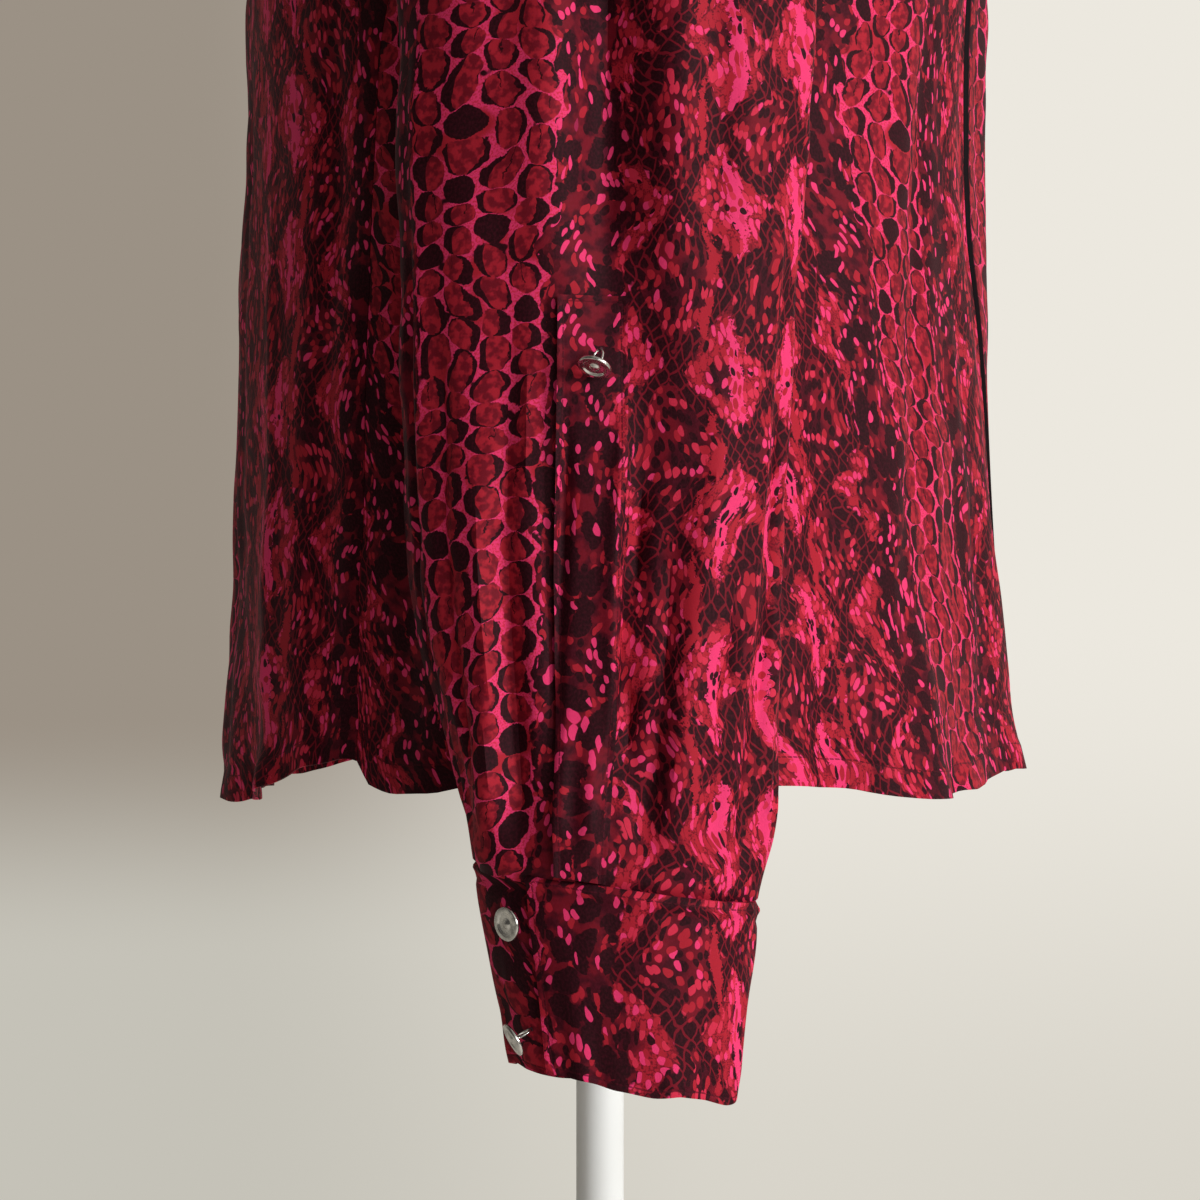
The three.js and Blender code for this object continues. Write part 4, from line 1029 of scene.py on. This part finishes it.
    def long_mark(self, middle, phase, half):
        """Where a long pointed mark with ragged edges stands, once in each diamond's height."""
        along = (self.v / (2 * self.DIAMOND_HALF_HEIGHT) + phase).fraction() - 0.5
        lens = (1 - along * along * 6.2).largest(0.0) * half
        ragged = (self.speck - 0.5) * 3.4 + self.fine * 4.0 + self.ripple * 3.0
        return (lens - 0.6 - (self.across - middle + ragged).absolute()).over(-0.15, 0.2)

    def marks(self, ground):
        """Long marks in plain red and in hot pink over the diamonds."""
        red = self.long_mark(79.0, 0.05, 3.0) * self.drift.over(0.42, 0.46)
        pink = self.long_mark(90.0, 0.5, 3.6) * (1 - self.drop * self.chances[0].over(0.36, 0.37))
        return self.look.mixed(pink, self.look.mixed(red, ground, self.red), self.pink)


def print_cloth(look):
    """Soft woven cloth with the snake print, its rows of stitches, a little wear and painted shade in the
    groove beside the front edge.
    """
    u, v, _, place = look.position("cloth")
    snake = SnakePrint(look, u, v, place)
    to_thread, length, painted_shade, _ = look.position("stitch")
    sewn = to_thread.absolute().over(0.34, 0.22) * (length / 2.6).fraction().over(0.16, 0.22)
    colour = look.mixed(sewn * 0.7, snake.colour(), snake.wine)
    weave = look.noise(look.vector(u * 4.0, v * 1.6), 1.0, 1.0)
    faded = look.noise(look.vector(u * 1.3, v + 200.0), 0.9).over(0.3, 0.8)
    colour = look.mixed(faded * 0.1, colour, linear(150, 40, 70))
    # Painted shade: where the layer's third part says so, the cloth turns near black for the groove's
    # shadow beside the front edge.
    colour = look.mixed(painted_shade, colour, linear(12, 4, 8))
    groove = to_thread.absolute().over(0.0, 1.6)
    look.bump(weave * 0.7 + groove * 1.6 + sewn * 0.8, 0.00022, 0.5)
    look.set(Base_Color=colour, Roughness=0.56 + 0.14 * weave, Sheen_Weight=0.05,
             Sheen_Roughness=0.4, Specular_IOR_Level=0.08, Sheen_Tint=linear(240, 90, 130))


def silver_metal(look):
    """Polished metal with the faint scratches of wear."""
    _, _, _, place = look.position("turned")
    scratch = look.noise(place, 2.4, 3.0, 0.6)
    cloud = look.noise(place, 0.35, 2.0)
    silver = tuple(bpy.context.scene.blouse_colours.silver)
    look.set(Base_Color=look.mixed(cloud.over(0.35, 0.75), silver, linear(168, 166, 162)),
             Roughness=0.14 + 0.16 * scratch, Metallic=1.0)
    look.bump(scratch, 0.00004, 0.4)


def thread_cotton(look):
    """Twisted thread that holds a button's shank."""
    _, _, _, place = look.position("turned")
    twist = look.noise(place, 3.0, 1.0)
    look.set(Base_Color=look.mixed(twist, linear(40, 14, 24), linear(84, 22, 38)), Roughness=0.85)
    look.bump(twist, 0.0002, 0.8)


def form_jersey(look):
    """Fine stretched knit over the dress form."""
    coordinates = look.add("ShaderNodeTexCoord").outputs["Object"]
    knit = look.add("ShaderNodeTexWave", {"wave_type": "BANDS", "bands_direction": "Z"},
                    {"Vector": coordinates, "Scale": 300.0, "Distortion": 0.6, "Detail": 1.0})
    cloud = look.noise(coordinates, 6.0, 3.0)
    grain = look.noise(coordinates, 420.0, 2.0)
    cream = tuple(bpy.context.scene.blouse_colours.form_cloth)
    look.set(Base_Color=look.mixed(cloud.over(0.3, 0.75), cream, linear(206, 198, 184)),
             Roughness=0.82 + 0.1 * grain, Sheen_Weight=0.2)
    look.bump(Number(look, knit.outputs["Fac"]) * 0.6 + grain * 0.5, 0.0003, 0.5)


def painted_steel(look):
    """Light grey satin paint, a little uneven."""
    coordinates = look.add("ShaderNodeTexCoord").outputs["Object"]
    peel = look.noise(coordinates, 260.0, 2.0)
    cloud = look.noise(coordinates, 9.0, 3.0)
    grey = tuple(bpy.context.scene.blouse_colours.steel)
    look.set(Base_Color=look.mixed(cloud.over(0.3, 0.8), grey, linear(226, 227, 225)),
             Roughness=0.34 + 0.14 * cloud, Specular_IOR_Level=0.5)
    look.bump(peel, 0.00012, 0.25)


def plain_floor(look):
    """Matt pale floor with faint clouds."""
    coordinates = look.add("ShaderNodeTexCoord").outputs["Object"]
    cloud = look.noise(coordinates, 1.5, 3.0)
    look.set(Base_Color=look.mixed(cloud, linear(206, 203, 196), linear(214, 211, 205)),
             Roughness=0.8)


class BlouseSizes(bpy.types.PropertyGroup):
    """Sizes that can be changed in the panel."""

    cloth_wall: bpy.props.FloatProperty(
        name="Cloth Wall", description="Thickness of a single layer of cloth", default=0.0008,
        unit="LENGTH", min=0.0003, max=0.0016)
    hem_depth: bpy.props.FloatProperty(
        name="Hem Depth", description="Height of the folded hem", default=0.010,
        unit="LENGTH", min=0.004, max=0.02)
    crease_strength: bpy.props.FloatProperty(
        name="Crease Strength", description="How deep the soft creases are", default=1.4,
        subtype="FACTOR", min=0.0, max=1.5)
    button_radius: bpy.props.FloatProperty(
        name="Button Radius", description="Outer radius of a metal button", default=0.0057,
        unit="LENGTH", min=0.004, max=0.008)
    floor_radius: bpy.props.FloatProperty(
        name="Floor Radius", description="Radius of the plain floor", default=3.2,
        unit="LENGTH", min=0.5, max=6.0)


def colour_property(name, description, *default):
    """A colour in the panel, with its default in 0 to 255 display values."""
    return bpy.props.FloatVectorProperty(
        name=name, description=description, default=linear(*default), subtype="COLOR", size=4)


class BlouseColours(bpy.types.PropertyGroup):
    """Colours that can be changed in the panel."""

    black: colour_property("Black", "Aubergine black of the print", 36, 8, 14)
    burgundy: colour_property("Burgundy", "Ground of the scales", 110, 17, 31)
    red: colour_property("Red", "Plain red of the print", 166, 31, 46)
    bright: colour_property("Bright Red", "Brightest red of the small marks", 200, 44, 70)
    pink: colour_property("Hot Pink", "Hot pink of the print", 228, 56, 110)
    silver: colour_property("Silver", "Metal of the buttons", 232, 230, 224)
    form_cloth: colour_property("Form Cloth", "Jersey of the dress form", 220, 213, 200)
    steel: colour_property("Painted Steel", "Paint of the pole and base", 237, 239, 238)


class BLOUSE_OT_fronts(bpy.types.Operator):
    """Make the two fronts, each with its long edge at the opening"""

    bl_idname = "blouse.fronts"
    bl_label = "Fronts"

    def execute(self, context):
        right = Cloth()
        right.wall(*make_panel("right", False, -PLACKET_HALF, CUT_FROM["right_front"]))
        piece = right.make("blouse_right_front")
        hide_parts("right_front", "front_placket")
        left = Cloth()
        left.wall(*make_panel("left", False, PLACKET_HALF + SEAM_GAP, CUT_FROM["left_front"]))
        piece = left.make("blouse_left_front")
        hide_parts("left_front")
        return {"FINISHED"}


class BLOUSE_OT_back(bpy.types.Operator):
    """Make the back, cut in one from side seam to side seam"""

    bl_idname = "blouse.back"
    bl_label = "Back"

    def execute(self, context):
        back = Cloth()
        for side in ("right", "left"):
            outer, inner, cloth, stitch = make_panel(side, True, 0.0, CUT_FROM["back"])
            apart = above_neck()
            rims = {"first": apart} if side == "right" else {"last": apart}
            back.wall(outer, inner, cloth, stitch, **rims)
        piece = back.make("blouse_back", weld=0.02)
        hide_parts("back")
        return {"FINISHED"}


class BLOUSE_OT_band(bpy.types.Operator):
    """Make the under band of the left front, behind the opening"""

    bl_idname = "blouse.band"
    bl_label = "Under Band"

    def execute(self, context):
        z, x = np.meshgrid(np.linspace(hem_level(0.0) + 0.4, FRONT_NECK_Z, 170),
                           np.linspace(PLACKET_HALF, -PLACKET_HALF, 14), indexing="ij")
        place = -angle_at_x(x, z)
        out = -BAND_DEPTH - EDGE_DROP * smooth(-4, 12, x) * opened(z)
        outer = body_point(place, z, out)
        inner = body_point(place, z, out - BAND_CLOTH)
        band = Cloth()
        band.wall(outer, inner, cloth_coordinates(x, z, CUT_FROM["band"]),
                  stitch_row(np.abs(x) - 12.5, z))
        piece = band.make("blouse_button_band")
        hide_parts("button_band")
        return {"FINISHED"}


class BLOUSE_OT_sleeves(bpy.types.Operator):
    """Make the two sleeves, each slit at the wrist"""

    bl_idname = "blouse.sleeves"
    bl_label = "Sleeves"

    def execute(self, context):
        wall = context.scene.blouse_sizes.cloth_wall * 1000
        row = row_steps(3.1)
        apart = np.concatenate([[False], row[:-1, 0] >= SLIT_ROW, [True, True]])
        for side, flip in SIDES:
            sleeve = Cloth()
            for start, end in ((0.0, 180.0), (180.0, 360.0)):
                turn = np.linspace(start, end, 58)[None, :]
                outer, inner = sleeve_point(row, turn), sleeve_point(row, turn, -wall)
                outer, inner = (self.tucked(grid) for grid in (outer, inner))
                slit = np.concatenate([[0], smooth(SLIT_ROW, SLIT_ROW + 1.2, row)[:, 0], [1, 1]])
                edge, way = (0, -1.0) if start == 0 else (-1, 1.0)
                for grid in (outer, inner):
                    grid[:, edge, 1] += way * slit
                u = arc_along(outer)
                if start:
                    u = u - u[:, -1:]
                lower = np.concatenate([[0], smooth(3.5, 5.5, row)[:, 0], [1, 1]])[:, None]
                u = u * lower + u[np.argmax(lower > 0.5)] * (1 - lower)
                v = arc_up(outer[::-1])[::-1]
                cloth = cloth_coordinates(u, v, CUT_FROM[f"{side}_sleeve"])
                stitch = stitch_row(np.full(u.shape, NO_STITCHES), u)
                for grid in (outer, inner):
                    grid[..., 0] *= flip
                joined = np.zeros(len(row) + 2, bool)
                rims = (apart, joined) if start == 0 else (joined, apart)
                sleeve.wall(outer, inner, cloth, stitch, *rims)
            piece = sleeve.make(f"blouse_{side}_sleeve", weld=0.02)
            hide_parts(f"{side}_sleeve")
        return {"FINISHED"}

    def tucked(self, grid):
        """A sleeve grid with a row more that lies under the armhole's edge, and two rows
        that run down inside the cuff."""
        centre = grid[-1].mean(axis=0)
        allowance = grid[0] + unit(grid[0] - ARMHOLE_CENTRE) * 3.2 + np.array([1.6, 0.0, -1.2])
        rows = [allowance[None], grid]
        for inward, down in ((1.6, 1.6), (2.6, 4.0)):
            ring = grid[-1] - unit((grid[-1] - centre) * LEVEL) * inward
            rows.append((ring - np.array([0, 0, down]))[None])
        return np.concatenate(rows)


class BLOUSE_OT_cuffs(bpy.types.Operator):
    """Make the deep cuffs and the plackets over the slits"""

    bl_idname = "blouse.cuffs"
    bl_label = "Cuffs and Plackets"

    def execute(self, context):
        turn = np.linspace(CUFF_START, CUFF_END, 190)[None, :]
        level = np.concatenate([np.linspace(CUFF_LOW, CUFF_RIM - 1.5, 30),
                                np.linspace(CUFF_RIM, CUFF_TOP, 4)])[:, None]
        low = smooth(750, CUFF_LOW, level)
        wave = 2.6 * soft_noise(turn / 24 + 9, level / 60, 21)
        wave = wave + 1.1 * soft_noise(turn / 9 + 9, level / 22, 23)
        pucker = 1 + 0.45 * soft_noise(turn / 4 + 9, 0 * level, 29)
        ridge = 1.1 * pucker * np.exp(-((level - 783) / 1.7) ** 2)
        ridge = ridge - 0.7 * np.exp(-((level - 779.6) / 0.9) ** 2)
        out = wave * (0.35 + 0.65 * low) * smooth(785, 770, level) + ridge
        outer, inner = cuff_point(level, turn, out), cuff_point(level, turn, out - CUFF_CLOTH)
        drop = 4.0 * low * smooth(20, 90, turn) * (1 - smooth(130, 200, turn))
        for grid in (outer, inner):
            grid[..., 2] -= drop + 1.2 * low * soft_noise(turn / 17 + 9, 0 * level, 27)
        u = arc_along(outer)
        edges = np.minimum(np.minimum(level - CUFF_LOW, CUFF_TOP - level) + 0 * u,
                           np.minimum(u, u[:, -1:] - u)) - 2.2
        for side, flip in SIDES:
            cuff = Cloth()
            mirror = np.array([flip, 1.0, 1.0])
            cloth = cloth_coordinates(u, outer[..., 2], CUT_FROM[f"{side}_cuff"])
            cuff.wall(outer * mirror, inner * mirror, cloth, stitch_row(edges, u + outer[..., 2]))
            piece = cuff.make(f"blouse_{side}_cuff")
            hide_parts(f"{side}_cuff")
            self.placket(side, mirror)
        return {"FINISHED"}

    def placket(self, side, mirror):
        """The placket over a sleeve's slit, a little free at its back edge."""
        row = np.linspace(GAUNTLET_ROW, LAST_ROW, 84)[:, None]
        turn = np.linspace(-GAUNTLET_TURN, GAUNTLET_TURN, 22)[None, :]
        free = smooth(-6.5, -10, turn) * 0.9
        outer = sleeve_point(row, turn, 1.9 + free)
        inner = sleeve_point(row, turn, 0.9 + free)
        u = arc_along(outer)
        z = outer[..., 2]
        sides = np.minimum(u, u[:, -1:] - u)
        box = np.minimum(np.minimum(sides, z[:1] - z), 40) - 2.0
        placket = Cloth()
        cloth = cloth_coordinates(u, z, CUT_FROM[f"{side}_placket"])
        placket.wall(outer * mirror, inner * mirror, cloth, stitch_row(box, z))
        piece = placket.make(f"blouse_{side}_gauntlet")
        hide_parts(f"{side}_gauntlet")


class BLOUSE_OT_collar(bpy.types.Operator):
    """Make the collar stand and the collar's fall"""

    bl_idname = "blouse.collar"
    bl_label = "Collar"

    def execute(self, context):
        stand = stand_rows()
        fine = refined(stand, 14, 180)
        normals = grid_normals(fine)
        cloth = Cloth()
        u = arc_along(fine)
        height = fine[..., 2] - fine[:1, :, 2]
        edge = np.minimum(np.minimum(u, u[:, -1:] - u), height[-1:] - height) - 2.2
        cloth.wall(fine - normals * 0.1, fine - normals * 1.8,
                   cloth_coordinates(u, fine[..., 2], CUT_FROM["stand"]), stitch_row(edge, u))
        piece = cloth.make("blouse_collar_stand")
        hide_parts("collar_stand")
        outer, inner = (refined(fall_rows(stand, lift), 26, 150) for lift in (2.1, 0.2))
        u = arc_along(outer)
        down = arc_along(outer.transpose(1, 0, 2)).T
        edge = np.minimum(down, np.minimum(u, u[:, -1:] - u)) - 4.5
        fall = Cloth()
        across = np.broadcast_to(u.mean(axis=0), u.shape)
        fall.wall(outer, inner, cloth_coordinates(across, down, CUT_FROM["fall"]),
                  stitch_row(edge, u + down))
        piece = fall.make("blouse_collar")
        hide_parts("collar")
        return {"FINISHED"}


def turned(profile, segments, axis_origin=(0.0, 0.0, 0.0), along=(0.0, 0.0, 1.0)):
    """A turned form about an axis, from (radius, height) pairs, as points and faces."""
    axis = Vector(along).normalized()
    turn = axis.to_track_quat("Z", "Y")
    points = []
    for radius, height in profile:
        for k in range(segments):
            angle = 2 * math.pi * k / segments
            local = Vector((radius * math.cos(angle), radius * math.sin(angle), height))
            points.append(tuple(turn @ local + Vector(axis_origin)))
    return points, ring_faces(len(profile), segments)


def rounded_profile(corners, bend, steps=5):
    """A profile whose corners are rounded with a small radius."""
    profile = [corners[0]]
    for before, corner, after in zip(corners, corners[1:], corners[2:]):
        corner_v = Vector(corner)
        to_before, to_after = Vector(before) - corner_v, Vector(after) - corner_v
        reach = min(bend, to_before.length * 0.45, to_after.length * 0.45)
        start = corner_v + to_before.normalized() * reach
        end = corner_v + to_after.normalized() * reach
        for k in range(steps + 1):
            t = k / steps
            mid = start * (1 - t) ** 2 + corner_v * 2 * t * (1 - t) + end * t * t
            profile.append((mid.x, mid.y))
    profile.append(corners[-1])
    return profile


class BLOUSE_OT_buttons(bpy.types.Operator):
    """Make the metal shank buttons and the threads that hold them"""

    bl_idname = "blouse.buttons"
    bl_label = "Buttons"

    def execute(self, context):
        ahead = np.array([-1.0, 0.0, 0.0])
        upper, upper_out = cuff_place(769.0, 313.0)
        lower, lower_out = cuff_place(735.0, 313.0)
        spot = sleeve_surface(GAUNTLET_ROW + 1.0, 0.0)
        spot = spot + sleeve_normal(GAUNTLET_ROW + 1.0, 0.0) * 2.0 + np.array([0.0, -2.5, 2.5])
        wrist = [("cuff_button_1", upper, upper_out, 0.15, 0.3, 3.0),
                 ("cuff_button_2", lower, lower_out, 1.15, 1.5, 5.5),
                 ("gauntlet_button", spot, ahead, 1.7, 0.5, 6.0)]
        for name, foot, out, droop, sideways, stem in wrist:
            hang = unit(out + np.array([0.0, sideways, -droop]))
            start = foot + out * 0.8 + hang * SEAM_GAP
            for side, flip in SIDES:
                mirror = np.array([flip, 1.0, 1.0])
                self.button(f"{side}_{name}", start * mirror, hang * mirror, stem)
        stand = stand_rows()
        foot = (stand[1, 0] + stand[1, 1]) / 2 + np.array([0.0, -0.8 - SEAM_GAP, 0.0])
        self.button("collar_button", foot, np.array([0.0, -1.0, 0.0]), 1.2)
        return {"FINISHED"}

    def button(self, node, foot, out, stem):
        """A dished disc with a rim, its wire shank and its thread, from the cloth outwards."""
        radius = bpy.context.scene.blouse_sizes.button_radius * 1000
        k = radius / 5.7
        corners = [(0.01, stem + 0.55), (3.6 * k, stem + 0.35), (5.5 * k, stem + 0.7),
                   (5.7 * k, stem + 1.3), (5.5 * k, stem + 2.0), (3.95 * k, stem + 2.0),
                   (3.5 * k, stem + 1.45), (1.75 * k, stem + 1.35), (1.2 * k, stem + 1.95),
                   (0.01, stem + 2.2)]
        points, faces = turned(rounded_profile(corners, 0.45, 4), 56, foot, out)
        material = finish("Polished Silver Metal", silver_metal)
        disc = add_piece(f"{node}_disc", points, faces, material, 0.001, {"turned": points})
        carried(disc, "silver_metal", node)
        points, faces = self.shank(foot, out, stem)
        shank = add_piece(f"{node}_shank", points, faces, material, 0.0, {"turned": points})
        carried(shank, "silver_metal")
        stalk = [(0.01, -0.4), (0.75, -0.3), (0.62, 0.3), (0.7, 0.75), (0.01, 0.85)]
        points, faces = turned(rounded_profile(stalk, 0.2, 3), 16, foot, out)
        thread = add_piece(f"{node}_thread", points, faces, finish("Button Thread", thread_cotton),
                           0.001, {"turned": points})
        carried(thread, "print_cloth")

    def shank(self, foot, out, stem):
        """A wire loop from the back of the disc down to the cloth."""
        axis = Vector(out).normalized()
        turn = axis.to_track_quat("Z", "Y")
        wire, half = 0.42, min(1.7, 0.9 + stem * 0.14)
        count, sides = 28, 8
        tall = (stem + 0.7) / 2
        points, faces = [], []
        for i in range(count):
            t = 2 * math.pi * i / count
            middle = Vector((half * math.sin(t), 0.0, tall + 0.1 - tall * 0.94 * math.cos(t)))
            way = Vector((math.sin(t) * tall * 0.9, 0.0, -math.cos(t) * half)).normalized()
            for j in range(sides):
                a = 2 * math.pi * j / sides
                local = middle + way * wire * math.cos(a) + Vector((0, wire * math.sin(a), 0))
                points.append(tuple(turn @ local + Vector(foot)))
        for i in range(count):
            for j in range(sides):
                a, b = i * sides + j, i * sides + (j + 1) % sides
                c, d = (i + 1) % count * sides + j, (i + 1) % count * sides + (j + 1) % sides
                faces.append((a, b, d, c))
        return points, faces


class BLOUSE_OT_form(bpy.types.Operator):
    """Make the dress form's torso, cap, pole and base"""

    bl_idname = "blouse.form"
    bl_label = "Dress Form"

    def execute(self, context):
        z = np.linspace(FORM_BOTTOM_Z, FORM_NECK_Z, 170)[:, None]
        angle = np.linspace(0, 360, 128, endpoint=False)[None, :]
        covered = 2.5 * (1 - smooth(1395, 1412, z))
        grid = section(FORM, angle, z) - section_normal(FORM, angle, z) * covered[..., None]
        round_in = 3.5 * (1 - np.sqrt(1 - np.clip(1 - (z - FORM_BOTTOM_Z) / 8, 0, 1) ** 2))
        grid -= section_normal(FORM, angle, z) * LEVEL * round_in[..., None]
        grid[0, :, 2] = FORM_BOTTOM_Z
        grid[-1, :, 2] = FORM_NECK_Z
        torso = add_piece("form_torso_cover", grid.reshape(-1, 3), ring_faces(*grid.shape[:2]),
                          finish("Cream Jersey", form_jersey))
        carried(torso, "form_cloth", "form_torso")
        cap = [(0.01, 0), (CAP_RADIUS, 0), (CAP_RADIUS, 5), (CAP_RADIUS - 10, 12),
               (CAP_RADIUS - 28, 16), (0.01, 17)]
        self.steel("form_cap", rounded_profile(cap, 4), (0, RIDGE_Y, FORM_NECK_Z + SEAM_GAP), 96)
        top = FORM_BOTTOM_Z - SEAM_GAP - BASE_THICKNESS - SEAM_GAP
        pole = [(0.01, 0), (28, 0), (28, 6), (POLE_RADIUS + 3, 14), (POLE_RADIUS, 22),
                (POLE_RADIUS, top - 70), (POLE_RADIUS, top), (0.01, top)]
        self.steel("form_pole", rounded_profile(pole, 2.5), (0, 0, BASE_THICKNESS + SEAM_GAP), 64)
        base = [(0.01, 0), (BASE_RADIUS, 0), (BASE_RADIUS, BASE_THICKNESS - 4),
                (BASE_RADIUS - 4, BASE_THICKNESS), (0.01, BASE_THICKNESS)]
        self.steel("form_base", rounded_profile(base, 1.8), (0, 0, 0), 160)
        return {"FINISHED"}

    def steel(self, node, profile, origin, segments):
        """A turned part of the form's stand, painted."""
        points, faces = turned(profile, segments, origin)
        paint = finish("Grey Satin Paint", painted_steel)
        piece = add_piece(f"{node}_painted", points, faces, paint, 0.001)
        carried(piece, "painted_steel", node)


class BLOUSE_OT_stage(bpy.types.Operator):
    """Set up the floor, the soft light and the camera"""

    bl_idname = "blouse.stage"
    bl_label = "Stage"

    def execute(self, context):
        radius = context.scene.blouse_sizes.floor_radius * 1000
        points, faces = turned([(0.01, -2.0), (radius, -2.0), (radius, -0.2), (0.01, -0.2)], 128)
        floor = add_piece("floor", points, faces, finish("Plain Floor", plain_floor), 0.001)
        self.world(context)
        context.scene.view_settings.view_transform = "Standard"
        self.light("key", (-1.65, -2.4, 1.55), 0.7, 60)
        self.light("fill", (-2.5, -1.3, 1.4), 1.4, 15)
        camera_data = bpy.data.cameras.new("camera")
        camera = bpy.data.objects.new("camera", camera_data)
        context.scene.collection.objects.link(camera)
        azimuth = math.radians(CAMERA_AZIMUTH)
        camera.location = (CAMERA_DISTANCE * math.sin(azimuth),
                           -CAMERA_DISTANCE * math.cos(azimuth), CAMERA_HEIGHT)
        aim = Vector((0.0, 0.0, CAMERA_HEIGHT)) - camera.location
        camera.rotation_euler = aim.to_track_quat("-Z", "Y").to_euler()
        camera_data.sensor_width = SENSOR_WIDTH
        camera_data.lens = FOCAL_PIXELS / PICTURE_PIXELS * SENSOR_WIDTH
        camera_data.clip_start = 0.05
        context.scene.camera = camera
        return {"FINISHED"}

    def light(self, name, place, size, watts):
        """A round soft light that shines on the middle of the blouse."""
        data = bpy.data.lights.new(name, "AREA")
        data.shape, data.size, data.energy = "DISK", size, watts
        lamp = bpy.data.objects.new(name, data)
        lamp.location = place
        aim = Vector((0.0, 0.0, 1.0)) - Vector(place)
        lamp.rotation_euler = aim.to_track_quat("-Z", "Y").to_euler()
        bpy.context.scene.collection.objects.link(lamp)

    def world(self, context):
        """Pale in front of the camera, dimmer behind it and towards the blouse's back."""
        world = bpy.data.worlds.new("studio")
        context.scene.world = world
        world.use_nodes = True
        nodes, links = world.node_tree.nodes, world.node_tree.links
        way = nodes.new("ShaderNodeTexCoord")
        parts = nodes.new("ShaderNodeSeparateXYZ")
        links.new(way.outputs["Generated"], parts.inputs[0])

        def between(axis, low, high):
            share = nodes.new("ShaderNodeMapRange")
            share.interpolation_type = "SMOOTHSTEP"
            links.new(parts.outputs[axis], share.inputs["Value"])
            share.inputs["From Min"].default_value = low
            share.inputs["From Max"].default_value = high
            return share.outputs["Result"]

        def mixed(share, first, second):
            node = nodes.new("ShaderNodeMix")
            node.data_type = "RGBA"
            links.new(share, node.inputs[0])
            for socket, colour in ((node.inputs[6], first), (node.inputs[7], second)):
                if isinstance(colour, tuple):
                    socket.default_value = colour
                else:
                    links.new(colour, socket)
            return node.outputs[2]

        height = between("Z", -0.115, -0.035)
        dim = mixed(height, linear(197, 194, 184), linear(155, 145, 133))
        pale = mixed(between("Z", -0.2, 0.0), linear(216, 212, 202), linear(236, 232, 223))
        dim = mixed(between("Y", 0.25, 0.6), dim, linear(150, 146, 138))
        ahead = mixed(between("Y", 0.17, -0.02), dim, pale)
        above = mixed(between("Z", -0.3, 0.8), linear(62, 60, 58), linear(190, 187, 181))
        above = mixed(between("Y", 0.5, -0.4), linear(72, 70, 67), above)
        colour = mixed(between("X", -0.6, 0.75), above, ahead)
        links.new(colour, nodes["Background"].inputs["Color"])


class BLOUSE_PT_panel(bpy.types.Panel):
    """The blouse's sizes, colours and pieces"""

    bl_idname = "BLOUSE_PT_panel"
    bl_label = "Blouse on Dress Form"
    bl_space_type = "VIEW_3D"
    bl_region_type = "UI"
    bl_category = "Blouse"

    def draw(self, context):
        layout = self.layout
        for group in (context.scene.blouse_sizes, context.scene.blouse_colours):
            column = layout.column(align=True)
            for name in group.__annotations__:
                column.prop(group, name)
        column = layout.column(align=True)
        for operator in OPERATORS:
            column.operator(operator.bl_idname)


OPERATORS = [
    BLOUSE_OT_stage, BLOUSE_OT_form, BLOUSE_OT_back, BLOUSE_OT_fronts, BLOUSE_OT_band,
    BLOUSE_OT_sleeves, BLOUSE_OT_cuffs, BLOUSE_OT_collar, BLOUSE_OT_buttons,
]
CLASSES = [BlouseSizes, BlouseColours, *OPERATORS, BLOUSE_PT_panel]


def register():
    for item in CLASSES:
        bpy.utils.register_class(item)
    bpy.types.Scene.blouse_sizes = bpy.props.PointerProperty(type=BlouseSizes)
    bpy.types.Scene.blouse_colours = bpy.props.PointerProperty(type=BlouseColours)


def unregister():
    del bpy.types.Scene.blouse_colours
    del bpy.types.Scene.blouse_sizes
    for item in reversed(CLASSES):
        bpy.utils.unregister_class(item)


def main():
    register()
    bpy.ops.blouse.stage()
    bpy.ops.blouse.form()
    bpy.ops.blouse.back()
    bpy.ops.blouse.fronts()
    bpy.ops.blouse.band()
    bpy.ops.blouse.sleeves()
    bpy.ops.blouse.cuffs()
    bpy.ops.blouse.collar()
    bpy.ops.blouse.buttons()


if __name__ == "__main__":
    main()
